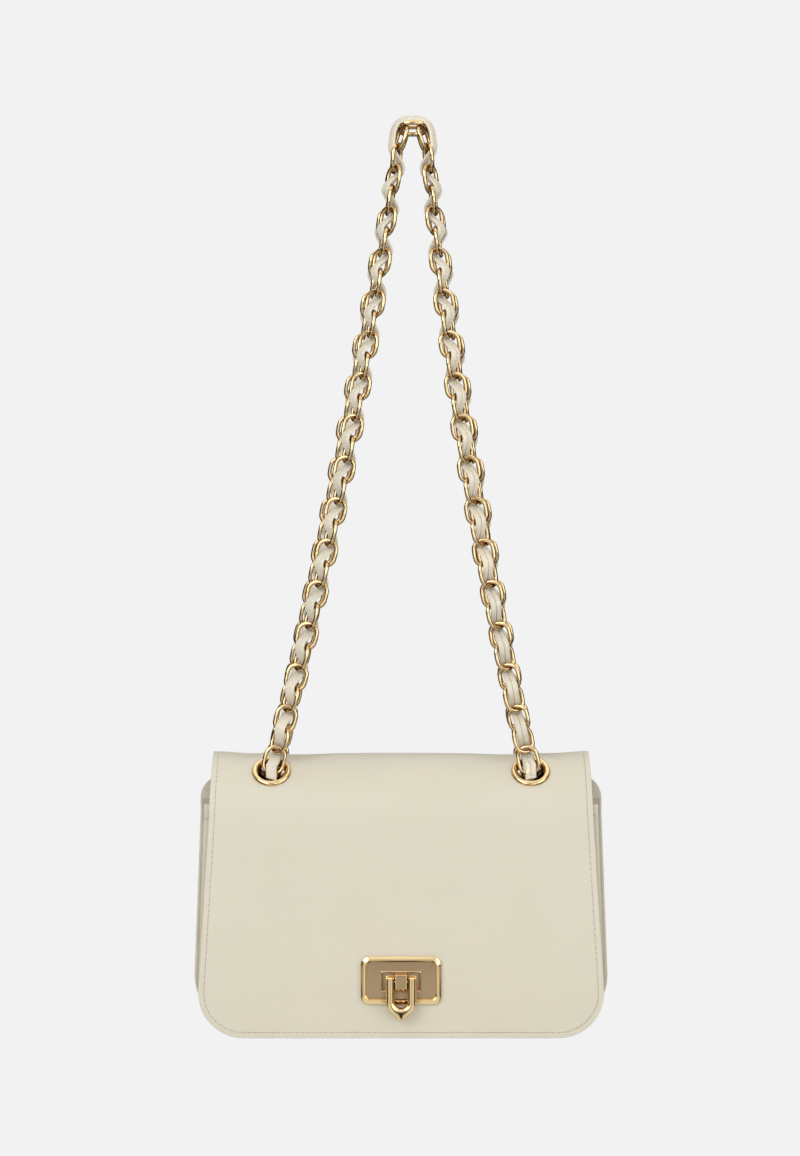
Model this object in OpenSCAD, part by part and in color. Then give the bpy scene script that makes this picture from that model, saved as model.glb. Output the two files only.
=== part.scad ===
// Small flap shoulder bag on two woven chain straps, standing on its flat base.
// Millimetres, Z up, front facing minus Y. The origin is the middle of the base, on the floor.

/* [Node to show] */
// Which named piece to draw

/* [Body] */
// Half width of the back panel where it is widest
back_half = 118; // [90:0.5:150]
// Half width of the front panel where it is widest
front_half = 112.5; // [90:0.5:150]
// Narrowing of each side of both panels from their widest place to their top
panel_taper = 3.5; // [0:0.5:10]
// Height of the front panel
front_height = 129; // [90:0.5:180]
// Radius of the lower corners of both panels
corner_radius = 28; // [10:0.5:45]
// How far the gusset stands in from the panel edges
gusset_inset = 3.5; // [1:0.5:12]
// Thickness of the leather
leather = 1.6; // [1:0.1:3]
// Thickness of the lining
lining = 0.6; // [0.4:0.1:1.5]
// Gap between the lining and the panels in front of and behind it
lining_gap = 0.05; // [0.02:0.01:0.2]
// Thickness of the board in the base
board_thickness = 1.4; // [1:0.1:3]
// Gap between each end of the base board and the start of the rounded corner
board_margin = 4.5; // [2:0.5:30]
// Height of the bound band along the front panel's top edge
binding_height = 7; // [4:0.5:12]

/* [Crown and flap] */
// Radius of the rounded crown, on the outside
crown_radius = 38; // [25:0.5:55]
// Drop of the crown's centre of curvature below the front panel's top edge
crown_drop = 8; // [0:0.5:20]
// Rise of the two folds over the front panel's top edge, where the crown meets the back and the flap
fold_rise = 7.5; // [4:0.5:15]
// Half width of the crown
crown_half = 104; // [80:0.5:130]
// Radius of the back shoulders of the crown
shoulder_radius = 14; // [5:0.5:20]
// Gap left in the leather at each fold
fold_gap = 0.3; // [0.1:0.05:1]
// Half width of the flap at its fold
flap_half_top = 103.8; // [80:0.5:130]
// Half width of the flap where it is widest
flap_half = 111; // [80:0.5:140]
// Radius of the flap's lower corners
flap_corner = 25; // [10:0.5:45]
// Height of the flap's lower edge above the floor
flap_bottom = 1.5; // [0.5:0.5:20]
// Thickness of the flap and crown lining
flap_lining_thickness = 0.8; // [0.4:0.1:1.5]
// Gap between the flap and the body's front panel
flap_clearance = 2.4; // [1.5:0.1:5]

/* [Eyelets] */
// Distance of each eyelet from the middle
eyelet_x = 72; // [40:0.5:95]
// Bore of the eyelets
eyelet_bore = 14.8; // [12:0.1:20]
// Outside diameter of the rolled rim
eyelet_rim = 21.8; // [18:0.1:30]
// Wall of the eyelet's barrel
barrel_wall = 0.6; // [0.4:0.1:1.5]
// Tilt of the eyelets from upright
eyelet_tilt = 45; // [30:1:60]
// How far the leather is pressed in under each eyelet
eyelet_seat = 0.8; // [0.2:0.1:2]
// Thickness of the eyelet washers
washer_thickness = 0.6; // [0.4:0.1:1.5]

/* [Chain] */
// Diameter of the chain wire
wire = 2; // [1.5:0.1:3]
// Outside width of a link
link_width = 13; // [10:0.1:18]
// Number of links in each side of a strap, between the eyelet and the top three
side_links = 30; // [20:2:44]
// Play between two joined links
link_play = 0.6; // [0.3:0.1:1.5]
// Extra play of the links that a strap swings on
swing_play = 0.8; // [0.5:0.1:1.5]
// Twist of each link from the chain's flat side
link_twist = 25; // [15:1:35]
// Twist of a strap's lowest link, which passes through the eyelet
low_twist = 10; // [0:1:20]
// Twist of the links under the crown that a strap swings on
swing_twist = 50; // [40:1:60]
// Width of the leather strip
strip_width = 6.2; // [4:0.1:9]
// Thickness of the leather strip
strip_thickness = 1.2; // [0.8:0.1:2]
// How far the strip weaves to each side of the chain's middle
strip_wave = 4.2; // [3:0.1:6]
// Number of links under the crown between the front and back eyelets
inner_links = 5; // [5:1:5]

/* [Strap shape] */
// Height of the strap's top link above the floor
strap_top = 507; // [350:1:650]
// Sideways shift of the strap's top from the middle
strap_shift = 6.5; // [0:0.5:20]
// Distance of the strap's top from the middle plane, to the front and to the back
strap_top_y = 7.4; // [7:0.1:20]
// Bow of the front strap, as its straight share of the half spread
front_bow = 37.3; // [20:0.5:64]
// Bow of the rear strap, as its straight share of the half spread
rear_bow = 50; // [20:0.5:64]
// Bend between the top link and each of its neighbours
top_bend = 72; // [60:1:80]
// How far in from the top link's end the neighbours' end wires sit
top_set = 3; // [2:0.1:4]
// Rise of the neighbours' end wires over the top link's middle
top_rise = 2.1; // [1.5:0.1:3]
// Half width of the strip's arch over the top links
arch_half = 11.2; // [10:0.1:16]
// Rise of the strip's arch over the top link's middle
arch_rise = 4.9; // [4:0.1:8]
// Depth of the strip's arch below the top link's middle
arch_foot = 6; // [4:0.1:9]

/* [Lock] */
// Width of the lock plate
plate_width = 44.5; // [30:0.5:60]
// Height of the lock plate
plate_height = 26.4; // [18:0.2:40]
// Height of the plate's middle above the floor
plate_z = 32.6; // [25:0.2:60]
// Thickness of the plate's flat field
field_thickness = 1.2; // [0.8:0.1:2]
// Height of the plate's raised rim
rim_height = 2.4; // [1.5:0.1:4]
// Width of the plate's raised rim
rim_width = 2.4; // [1:0.1:4]
// Radius of the plate's corners
plate_corner = 3.2; // [1:0.1:6]
// Width of the window in the plate
window_width = 21.8; // [18:0.1:26]
// Height of the window in the plate
window_height = 10.6; // [8:0.1:14]
// Diameter of the flip loop's bar
loop_bar = 5; // [3:0.1:7]
// Outside width of the flip loop
loop_width = 17; // [12:0.1:24]
// Height of the latch pin above the floor
pin_z = 32; // [25:0.2:60]
// Diameter of the latch pin
pin_diameter = 2; // [1.5:0.1:3]
// Running clearance of the loop on the pin, on the radius
pin_clearance = 0.05; // [0.02:0.01:0.1]
// Height of the loop's pointed tip above the floor
tip_z = 10.4; // [5:0.2:20]
// Diameter of the flap and keeper magnets
magnet_diameter = 14; // [8:0.5:20]

/* [Hidden] */
$fn = 64;

// Sizes that follow the body's main ones
back_half_top = back_half - panel_taper;
front_half_top = front_half - panel_taper;
board_half = front_half - corner_radius - board_margin;
crown_centre = front_height - crown_drop;
fold_height = front_height + fold_rise;

leather_colour = "#d8d2bf";
lining_colour = "#b7a98c";
metal_colour = "#d9c18a";
dark_metal_colour = "#8f7f5c";
board_colour = "#8a7a62";

// Faces of the main sheets, from front to back
flap_face = -crown_radius;
flap_back = flap_face + leather + flap_lining_thickness;
front_face = flap_back + flap_clearance;
front_back = front_face + leather;
rear_face = crown_radius;
rear_front = rear_face - leather;
fold_angle = asin((fold_height - crown_centre) / crown_radius);
fold_y = crown_radius * cos(fold_angle);
gap_angle = asin(fold_gap / (2 * crown_radius));
angle_grain = 1 / 1000;
function whole(angle) = round(angle / angle_grain) * angle_grain;
below_fold = whole(fold_angle - gap_angle);
above_fold = whole(fold_angle + gap_angle);
lining_inset = gusset_inset + leather + 2 * lining_gap;

// Eyelet levels, measured out from the crown's centre of curvature
seat = crown_radius - eyelet_seat;
under_seat = seat - leather;
barrel_radius = eyelet_bore / 2 + barrel_wall;
rim_bar = (eyelet_rim - eyelet_bore) / 4;
rim_middle = eyelet_bore / 2 + rim_bar;
face_radius = eyelet_rim / 2 + wire / 8;
washer_radius = eyelet_rim / 2 - barrel_wall / 2;
pad_radius = eyelet_rim / 2 + 2 * barrel_wall;

// The point each strap swings about
pivot_y = crown_radius * sin(eyelet_tilt);
pivot_z = crown_centre + crown_radius * cos(eyelet_tilt);
lean = atan((pivot_y - strap_top_y) / (strap_top - pivot_z));
ring_radius = (link_width - wire) / 2;

// Strand shape in the strap's own plane, with height counted from its swing point
top_height = (strap_top - pivot_z) / cos(lean);
table_steps = 60;
bow_stretch = 1.02;
pitch_guess = (strap_top - pivot_z) * bow_stretch / (side_links + 1);
top_half = (pitch_guess + wire + link_play) / 2;
neighbour_x = top_half - top_set + top_half * cos(top_bend);
neighbour_drop = top_half * sin(top_bend) - top_rise;
joint_x = neighbour_x + cos(top_bend) * pitch_guess / 2;
joint_height = top_height - neighbour_drop - sin(top_bend) * pitch_guess / 2;
function spread(t, bow) = joint_x + bow * t + (eyelet_x - joint_x - bow) * t * t;
function strand_point(t, side, bow, shift) =
    [shift * (1 - t) + side * spread(t, bow), joint_height * (1 - t)];
function step_length(i, side, bow, shift) =
    norm(strand_point(1 - (i + 1) / table_steps, side, bow, shift)
        - strand_point(1 - i / table_steps, side, bow, shift));
function strand_table(side, bow, shift) =
    [for (s = 0, i = 0; i <= table_steps; s = s + step_length(i, side, bow, shift), i = i + 1)
        [s, 1 - i / table_steps]];
function strand_at(u, table, side, bow, shift) =
    strand_point(lookup(table[table_steps][0] * u / side_links, table), side, bow, shift);
facing_power = 1.2;
function facing_at(u) = 90 * pow(min(1, u / side_links), facing_power);

// Strip that weaves through the links
strip_steps = 4;
strip_start = 0.4;
strip_fine = 0.05;
function strand_heading(u, table, side, bow, shift) =
    let (d = strand_at(min(side_links, u + strip_fine), table, side, bow, shift)
        - strand_at(max(0, u - strip_fine), table, side, bow, shift)) d / norm(d);
function strip_normal(u, table, side, bow, shift) =
    let (d = strand_heading(u, table, side, bow, shift), f = facing_at(u))
        [side * d[1] * sin(f), -cos(f), -side * d[0] * sin(f)];
function strip_middle(u, table, side, bow, shift) =
    let (p = strand_at(u, table, side, bow, shift))
        [p[0], 0, p[1]] + strip_wave * cos(180 * u) * strip_normal(u, table, side, bow, shift);
function strip_across(u, table, side, bow, shift) =
    let (d = strand_heading(u, table, side, bow, shift))
        -side * cross([d[0], 0, d[1]], strip_normal(u, table, side, bow, shift));
function unit(v) = v / norm(v);
function section(middle, across, along) =
    let (a = unit(across), n = unit(cross(unit(along), a)))
        [middle + a * strip_width / 2 + n * strip_thickness / 2,
         middle - a * strip_width / 2 + n * strip_thickness / 2,
         middle - a * strip_width / 2 - n * strip_thickness / 2,
         middle + a * strip_width / 2 - n * strip_thickness / 2];

// The whole strip, left strand up, over the top links, right strand down
strand_samples = (side_links - floor(strip_start)) * strip_steps;
function strand_u(j) = strip_start + (side_links - strip_start) * j / strand_samples;
arch_steps = 16;
arch_power = 0.8;
function arch_point(j, shift) =
    let (a = 180 - 180 * (j + 1) / (arch_steps + 2), c = cos(a))
        [shift + arch_half * sign(c) * pow(abs(c), arch_power), 0,
         top_height - arch_foot + (arch_rise + arch_foot) * pow(sin(a), arch_power)];
function loop_middles(left, right, bow, shift) = [
    for (j = [0 : strand_samples]) strip_middle(strand_u(j), left, -1, bow, shift),
    for (j = [0 : arch_steps]) arch_point(j, shift),
    for (j = [strand_samples : -1 : 0]) strip_middle(strand_u(j), right, 1, bow, shift)];
function loop_acrosses(left, right, bow, shift) = [
    for (j = [0 : strand_samples]) strip_across(strand_u(j), left, -1, bow, shift),
    for (j = [0 : arch_steps]) [0, -1, 0],
    for (j = [strand_samples : -1 : 0]) strip_across(strand_u(j), right, 1, bow, shift)];

module ribbon(middles, acrosses) {
    last = len(middles) - 1;
    corners = [for (j = [0 : last])
        each section(middles[j], acrosses[j], middles[min(last, j + 1)] - middles[max(0, j - 1)])];
    faces = [
        [0, 1, 2], [0, 2, 3],
        for (j = [0 : last - 1]) for (k = [0 : 3])
            let (a = 4 * j + k, b = 4 * j + (k + 1) % 4) each [[b, a, a + 4], [b, a + 4, b + 4]],
        [4 * last + 2, 4 * last + 1, 4 * last], [4 * last + 3, 4 * last + 2, 4 * last]];
    polyhedron(points = corners, faces = faces, convexity = 10);
}

// One oval link, standing along Z with its width along X. Its straight part is a whole number of grains
link_grain = wire / 200;
module link(pitch, play) {
    straight = round(((pitch + wire + play) / 2 - ring_radius) / link_grain) * link_grain;
    for (end = [-1, 1])
        translate([0, 0, end * straight])
            rotate([end * 90, 0, 0])
                rotate_extrude(angle = 180)
                    translate([ring_radius, 0])
                        circle(d = wire);
    for (side = [-1, 1])
        translate([side * ring_radius, 0, -straight])
            cylinder(h = 2 * straight, d = wire);
}

module strand_links(side, bow, shift) {
    table = strand_table(side, bow, shift);
    for (i = [0 : side_links - 1]) {
        a = strand_at(i, table, side, bow, shift);
        b = strand_at(i + 1, table, side, bow, shift);
        middle = (a + b) / 2;
        twist = (i % 2 == 0 ? -1 : 1) * side * (i == 0 ? low_twist : link_twist);
        play = link_play + (i == 0 ? swing_play : 0);
        translate([middle[0], 0, middle[1]])
            rotate([0, atan2(b[0] - a[0], b[1] - a[1]), 0])
                rotate([0, 0, side * facing_at(i + 0.5) + twist])
                    link(pitch_guess, play);
    }
}

module top_links(shift) {
    for (side = [-1, 1])
        translate([shift + side * neighbour_x, 0, top_height - neighbour_drop])
            rotate([0, side * (top_bend - 90), 0])
                rotate([0, 0, side * 90 - side * link_twist])
                    link(pitch_guess, link_play);
    translate([shift, 0, top_height])
        rotate([0, 90, 0])
            rotate([0, 0, -90 - link_twist])
                link(pitch_guess, link_play);
}

module loop_chain(bow, shift) {
    strand_links(-1, bow, shift);
    strand_links(1, bow, shift);
    top_links(shift);
}

module loop_strip(bow, shift) {
    left = strand_table(-1, bow, shift);
    right = strand_table(1, bow, shift);
    ribbon(loop_middles(left, right, bow, shift), loop_acrosses(left, right, bow, shift));
}

// The front strap leans back from its eyelets, and the rear strap leans forward
module place_front() {
    translate([0, -pivot_y, pivot_z])
        rotate([-lean, 0, 0])
            children();
}

module place_rear() {
    translate([0, pivot_y, pivot_z])
        rotate([lean, 0, 0])
            rotate([0, 0, 180])
                children();
}

module front_chain() {
    color(metal_colour)
        place_front()
            loop_chain(front_bow, strap_shift);
}

module front_strip() {
    color(leather_colour)
        place_front()
            loop_strip(front_bow, strap_shift);
}

module rear_chain() {
    color(metal_colour)
        place_rear()
            loop_chain(rear_bow, -strap_shift);
}

module rear_strip() {
    color(leather_colour)
        place_rear()
            loop_strip(rear_bow, -strap_shift);
}

// Chain under the crown, hanging between a front eyelet and the back one behind it
inner_radius = pivot_y / sin(eyelet_tilt);
inner_top = pivot_z + inner_radius * cos(eyelet_tilt);
inner_steps = 24;
inner_start = 1.3;
function inner_angle(u) = -eyelet_tilt + 2 * eyelet_tilt * u / inner_links;
function inner_point(u) =
    [0, inner_radius * sin(inner_angle(u)), inner_top - inner_radius * cos(inner_angle(u))];
function inner_normal(u) = [0, sin(inner_angle(u)), -cos(inner_angle(u))];
function inner_u(j) = inner_start + (inner_links - 2 * inner_start) * j / inner_steps;

module inner_chains() {
    color(metal_colour)
        for (side = [-1, 1])
            for (k = [0 : inner_links - 1]) {
                a = inner_point(k);
                b = inner_point(k + 1);
                end = k == 0 ? 1 : k == inner_links - 1 ? -1 : 0;
                middle = (a + b) / 2 - end * unit(b - a) * swing_play / 2;
                twist = (k % 2 == 0 ? -1 : 1) * side * (end == 0 ? link_twist : swing_twist);
                translate([side * eyelet_x, middle[1], middle[2]])
                    rotate([atan2(a[1] - b[1], b[2] - a[2]), 0, 0])
                        rotate([0, 0, twist])
                            link(pitch_guess, link_play + abs(end) * swing_play);
            }
}

module inner_strips() {
    middles = [for (j = [0 : inner_steps])
        inner_point(inner_u(j)) + strip_wave * cos(180 * inner_u(j)) * inner_normal(inner_u(j))];
    color(leather_colour)
        for (side = [-1, 1])
            translate([side * eyelet_x, 0, 0])
                ribbon(middles, [for (j = [0 : inner_steps]) [1, 0, 0]]);
}

// Outline of a panel seen from the front, drawn in X and Z
corner_steps = 20;
function corner(x, z, radius, from, to) =
    [for (i = [0 : corner_steps]) let (a = from + (to - from) * i / corner_steps)
        [x + radius * cos(a), z + radius * sin(a)]];
module panel_outline(top, half_top, half_low, radius, bottom = 0) {
    x = half_low - radius;
    z = bottom + radius;
    slope = atan2(half_low - half_top, top - z);
    polygon([[-half_top, top], each corner(-x, z, radius, 180 - slope, 270),
        each corner(x, z, radius, 270, 360 + slope), [half_top, top]]);
}

// Stands a front view up between two depths, the second one being further back
module between(y_front, y_rear) {
    translate([0, y_rear, 0])
        rotate([90, 0, 0])
            linear_extrude(height = y_rear - y_front)
                children();
}

// Part of a round wall about the crown's centre line, angles counted up from the front
module crown_wall(outer, thickness, half, from_angle, to_angle) {
    translate([0, 0, crown_centre])
        rotate([0, 90, 0])
            rotate([0, 0, 270 - to_angle])
                rotate_extrude(angle = to_angle - from_angle)
                    translate([outer - thickness, -half])
                        square([thickness, 2 * half]);
}

// Places something square to the crown at each eyelet, with Z out from the crown's centre
module at_eyelets() {
    for (side = [-1, 1])
        for (end = [-1, 1])
            translate([side * eyelet_x, 0, crown_centre])
                rotate([end * eyelet_tilt, 0, 0])
                    children();
}

// The back's outline seen from the front, with its round shoulders and the narrower crown above them
module shoulders() {
    between(0, 2 * crown_radius) {
        for (side = [-1, 1])
            translate([side * (back_half_top - shoulder_radius), front_height])
                circle(r = shoulder_radius);
        translate([-back_half_top, 0])
            square([2 * back_half_top, front_height]);
        translate([shoulder_radius - back_half_top, 0])
            square([2 * (back_half_top - shoulder_radius), front_height + shoulder_radius]);
        translate([-crown_half, 0])
            square([2 * crown_half, crown_centre + 2 * crown_radius]);
    }
}

// Room of the back panel's curved top, grown inward by a gap, that other pieces are cut clear of
module back_curve(gap) {
    crown_wall(crown_radius + leather, 2 * leather + gap, back_half, 180 - above_fold, 180);
}

module back_panel() {
    color(leather_colour) {
        between(rear_front, rear_face)
            panel_outline(crown_centre, back_half_top, back_half, corner_radius);
        intersection() {
            crown_wall(crown_radius, leather, back_half_top, 180 - below_fold, 180);
            shoulders();
        }
    }
}

washer_spread = 1.5;
module front_panel() {
    color(leather_colour)
        difference() {
            between(front_face, front_back)
                panel_outline(front_height, front_half_top, front_half, corner_radius);
            translate([0, front_back, plate_z])
                rotate([90, 0, 0])
                    cylinder(h = 2 * leather, d = magnet_diameter, center = true);
            translate([0, front_back, plate_z])
                rotate([90, 0, 0])
                    cylinder(h = 2 * washer_thickness, d = magnet_diameter * washer_spread, center = true);
        }
}

// The front panel's outline drawn in by an inset, with its sides run on to any height
module inset_outline(top, inset, rise) {
    narrowing = panel_taper * (top - corner_radius) / (front_height - corner_radius);
    panel_outline(top, front_half - narrowing - inset, front_half - inset, corner_radius - inset, rise);
}

module gusset() {
    color(leather_colour)
        difference() {
            between(front_back, rear_front)
                difference() {
                    inset_outline(front_height, gusset_inset, 0);
                    inset_outline(2 * front_height, gusset_inset + leather, leather);
                }
            back_curve(0);
        }
}

module base_board() {
    depth = rear_front - front_back - 2 * lining;
    color(board_colour)
        translate([-board_half, front_back + lining, leather])
            cube([2 * board_half, depth, board_thickness]);
}

module body_lining() {
    floor_top = leather + board_thickness;
    color(lining_colour)
        difference() {
            between(front_back + lining_gap, rear_front - lining_gap)
                inset_outline(front_height, lining_inset, floor_top);
            difference() {
                between(front_back + lining, rear_front - lining)
                    inset_outline(2 * front_height, lining_inset + lining, floor_top + lining);
                back_curve(lining);
            }
            back_curve(lining_gap);
        }
}

// Flat pocket on the back wall, open at the top
pocket_half = 60;
pocket_bottom = 34;
pocket_top = 112;
pocket_seam = 5;
pocket_gap = 4.6;
pocket_sheet = 1;
module slip_pocket() {
    wall = rear_front - lining;
    color(lining_colour) {
        between(wall - pocket_gap - pocket_sheet, wall - pocket_gap)
            translate([-pocket_half, pocket_bottom])
                square([2 * pocket_half, pocket_top - pocket_bottom]);
        between(wall - pocket_gap, wall)
            difference() {
                translate([-pocket_half, pocket_bottom])
                    square([2 * pocket_half, pocket_top - pocket_bottom]);
                translate([pocket_seam - pocket_half, pocket_bottom + pocket_seam])
                    square([2 * (pocket_half - pocket_seam), pocket_top]);
            }
    }
}

// Turned band over the front panel's top edge
module front_binding() {
    band = leather / 2;
    color(leather_colour) {
        between(front_face - band, front_face)
            translate([-front_half_top, front_height - binding_height])
                square([2 * front_half_top, binding_height]);
        between(front_face - band, front_back + lining)
            translate([-front_half_top, front_height])
                square([2 * front_half_top, band]);
    }
}

// Round part lying along Y, from the front depth to the rear one, at the lock's height
module disc(y_front, y_rear, diameter) {
    translate([0, y_rear, plate_z])
        rotate([90, 0, 0])
            cylinder(h = y_rear - y_front, d = diameter);
}

keeper_flange = 1.36;
module magnet_keeper() {
    color(dark_metal_colour) {
        disc(front_face - flap_clearance / 2, front_back, magnet_diameter);
        disc(front_face - flap_clearance / 4, front_face, magnet_diameter * keeper_flange);
    }
}

module keeper_washer() {
    color(dark_metal_colour)
        difference() {
            disc(front_back - washer_thickness, front_back, magnet_diameter * washer_spread);
            disc(front_face, front_back + leather, magnet_diameter);
        }
}

module crown_panel() {
    color(leather_colour)
        difference() {
            union() {
                intersection() {
                    crown_wall(crown_radius, leather, crown_half, above_fold, 90);
                    between(-2 * crown_radius, 0)
                        translate([-crown_half, 0])
                            square([2 * crown_half, 2 * crown_centre]);
                }
                intersection() {
                    crown_wall(crown_radius, leather, back_half_top, 90, 180 - above_fold);
                    shoulders();
                }
                at_eyelets()
                    translate([0, 0, under_seat])
                        cylinder(h = leather, r = pad_radius);
            }
            at_eyelets()
                translate([0, 0, seat])
                    cylinder(h = crown_radius / 2, r = face_radius);
            at_eyelets()
                translate([0, 0, crown_radius / 2])
                    cylinder(h = under_seat - crown_radius / 2, r = washer_radius + barrel_wall / 2);
            at_eyelets()
                cylinder(h = 2 * crown_radius, r = barrel_radius);
        }
}

module crown_lining() {
    color(lining_colour)
        difference() {
            crown_wall(crown_radius - leather, flap_lining_thickness, crown_half - leather, above_fold,
                180 - above_fold);
            at_eyelets()
                translate([0, 0, crown_radius / 2])
                    cylinder(h = crown_radius, r = pad_radius);
        }
}

module eyelets() {
    flare = under_seat - washer_thickness;
    color(metal_colour)
        at_eyelets()
            rotate_extrude() {
                translate([eyelet_bore / 2, flare - barrel_wall])
                    square([barrel_wall, seat + barrel_wall - flare + barrel_wall]);
                translate([eyelet_bore / 2, flare - barrel_wall])
                    square([3 * barrel_wall, barrel_wall]);
                intersection() {
                    translate([rim_middle, seat])
                        circle(r = rim_bar);
                    translate([eyelet_bore / 2, seat])
                        square([4 * rim_bar, 2 * rim_bar]);
                }
            }
}

module eyelet_washers() {
    color(dark_metal_colour)
        at_eyelets()
            translate([0, 0, under_seat - washer_thickness])
                difference() {
                    cylinder(h = washer_thickness, r = washer_radius);
                    translate([0, 0, -washer_thickness])
                        cylinder(h = 3 * washer_thickness, r = barrel_radius);
                }
}

// The four rivets of the lock plate
rivet_diameter = 2.4;
rivet_inset = 5;
module at_rivets() {
    for (side = [-1, 1])
        for (end = [-1, 1])
            translate([side * (plate_width / 2 - rivet_inset), 0, end * (plate_height / 2 - rivet_inset)])
                children();
}

module flap_panel() {
    color(leather_colour)
        difference() {
            union() {
                between(flap_face, flap_face + leather)
                    panel_outline(crown_centre, flap_half_top, flap_half, flap_corner, flap_bottom);
                crown_wall(crown_radius, leather, flap_half_top, 0, below_fold);
            }
            disc(2 * flap_face, 0, magnet_diameter);
            at_rivets()
                disc(2 * flap_face, 0, rivet_diameter);
        }
}

module flap_lining() {
    edge = leather;
    color(lining_colour)
        difference() {
            union() {
                between(flap_face + leather, flap_back)
                    panel_outline(crown_centre, flap_half_top - edge, flap_half - edge, flap_corner - edge,
                        flap_bottom + edge);
                crown_wall(crown_radius - leather, flap_lining_thickness, flap_half_top - edge, 0,
                    below_fold);
            }
            disc(2 * flap_face, 0, magnet_diameter);
            at_rivets()
                disc(2 * flap_face, 0, rivet_diameter);
        }
}

module rounded(width, height, radius) {
    square([width - 2 * radius, height], center = true);
    square([width, height - 2 * radius], center = true);
    for (side = [-1, 1])
        for (end = [-1, 1])
            translate([side * (width / 2 - radius), end * (height / 2 - radius)])
                circle(r = radius);
}

plate_back = 0.4;
module lock_plate() {
    color(metal_colour)
        difference() {
            between(flap_face - rim_height, flap_face)
                translate([0, plate_z])
                    rounded(plate_width, plate_height, plate_corner);
            between(flap_face - 2 * rim_height, flap_face - field_thickness)
                translate([0, plate_z])
                    rounded(plate_width - 2 * rim_width, plate_height - 2 * rim_width, plate_corner / 2);
            between(flap_face - 2 * rim_height, flap_face - plate_back)
                translate([-window_width / 2, pin_z - window_height / 2])
                    square([window_width, window_height]);
        }
}

// The pin's line, in front of the plate's rim
loop_gap = 0.4;
pin_y = flap_face - rim_height - loop_gap - loop_bar / 2;
arm_x = (loop_width - loop_bar) / 2;
side_gap = 0.3;
knuckle_half = arm_x - loop_bar / 2 - side_gap;
knuckle_height = 8.2;

module along_pin(half, diameter) {
    translate([-half, pin_y, pin_z])
        rotate([0, 90, 0])
            cylinder(h = 2 * half, d = diameter);
}

module lock_knuckle() {
    front = pin_y - pin_diameter;
    color(metal_colour)
        difference() {
            between(front, flap_face - plate_back)
                translate([-knuckle_half, pin_z - knuckle_height / 2])
                    square([2 * knuckle_half, knuckle_height]);
            along_pin(loop_width, pin_diameter);
        }
}

module latch_pin() {
    color(dark_metal_colour)
        along_pin(loop_width / 2 - side_gap, pin_diameter);
}

loop_tip = 2.6;
tip_side = (loop_tip + loop_bar / 4) * sqrt(2);
module flip_loop() {
    bend_z = tip_z + loop_tip + loop_bar / 2 + arm_x;
    color(metal_colour)
        difference() {
            union() {
                for (side = [-1, 1])
                    translate([side * arm_x, pin_y, bend_z])
                        cylinder(h = pin_z + loop_bar / 2 - bend_z, d = loop_bar);
                translate([0, pin_y, bend_z])
                    rotate([-90, 0, 0])
                        rotate_extrude(angle = 180)
                            translate([arm_x, 0])
                                circle(d = loop_bar);
                translate([0, pin_y, tip_z + loop_tip + loop_bar / 4])
                    rotate([0, 45, 0])
                        cube([tip_side, loop_bar, tip_side], center = true);
            }
            along_pin(loop_width, pin_diameter + 2 * pin_clearance);
        }
}

module lock_backplate() {
    color(dark_metal_colour)
        difference() {
            between(flap_back, flap_back + washer_thickness)
                translate([0, plate_z])
                    rounded(plate_width - rim_width, plate_height - rim_width, plate_corner);
            disc(2 * flap_face, 0, magnet_diameter);
            at_rivets()
                disc(2 * flap_face, 0, rivet_diameter);
        }
}

module lock_rivets() {
    color(dark_metal_colour)
        at_rivets() {
            disc(flap_face, flap_back + washer_thickness, rivet_diameter);
            disc(flap_back + washer_thickness, flap_back + 2 * washer_thickness, 2 * rivet_diameter);
        }
}

module flap_magnet() {
    color(dark_metal_colour)
        disc(flap_face, flap_back + washer_thickness, magnet_diameter);
}

back_panel();
front_panel();
gusset();
body_lining();
base_board();
slip_pocket();
front_binding();
magnet_keeper();
keeper_washer();
crown_panel();
crown_lining();
eyelets();
eyelet_washers();
inner_chains();
inner_strips();
flap_panel();
flap_lining();
lock_plate();
lock_knuckle();
lock_backplate();
lock_rivets();
flap_magnet();
latch_pin();
flip_loop();
front_chain();
front_strip();
rear_chain();
rear_strip();
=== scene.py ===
"""Small flap shoulder bag on two woven chain straps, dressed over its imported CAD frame."""
from contextlib import contextmanager
from math import acos, asin, atan2, cos, exp, hypot, pi, radians, sin, sqrt

import bmesh
import bpy
from mathutils import Matrix, Vector, noise


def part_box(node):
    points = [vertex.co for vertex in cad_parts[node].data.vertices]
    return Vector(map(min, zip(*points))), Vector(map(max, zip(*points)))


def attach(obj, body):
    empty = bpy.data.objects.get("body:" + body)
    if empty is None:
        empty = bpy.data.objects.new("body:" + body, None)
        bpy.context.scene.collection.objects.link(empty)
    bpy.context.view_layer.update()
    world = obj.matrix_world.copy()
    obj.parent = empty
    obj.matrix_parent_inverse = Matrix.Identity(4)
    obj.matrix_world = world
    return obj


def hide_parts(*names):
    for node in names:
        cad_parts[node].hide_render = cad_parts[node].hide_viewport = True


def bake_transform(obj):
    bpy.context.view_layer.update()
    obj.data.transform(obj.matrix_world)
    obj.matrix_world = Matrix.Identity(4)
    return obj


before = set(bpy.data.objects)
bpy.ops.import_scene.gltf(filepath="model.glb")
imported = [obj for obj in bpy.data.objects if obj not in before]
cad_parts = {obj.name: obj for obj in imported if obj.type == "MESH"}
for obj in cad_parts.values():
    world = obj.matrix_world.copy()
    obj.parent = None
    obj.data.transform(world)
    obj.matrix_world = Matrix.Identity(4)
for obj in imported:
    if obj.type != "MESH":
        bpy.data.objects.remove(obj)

bl_info = {
    "name": "Chain shoulder bag",
    "version": (1, 0, 0),
    "blender": (4, 5, 0),
    "location": "3D View > Sidebar > Bag",
    "description": "Builds a flap shoulder bag on two woven chain straps over its CAD frame",
    "category": "Add Mesh",
}

MM = 0.001

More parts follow.
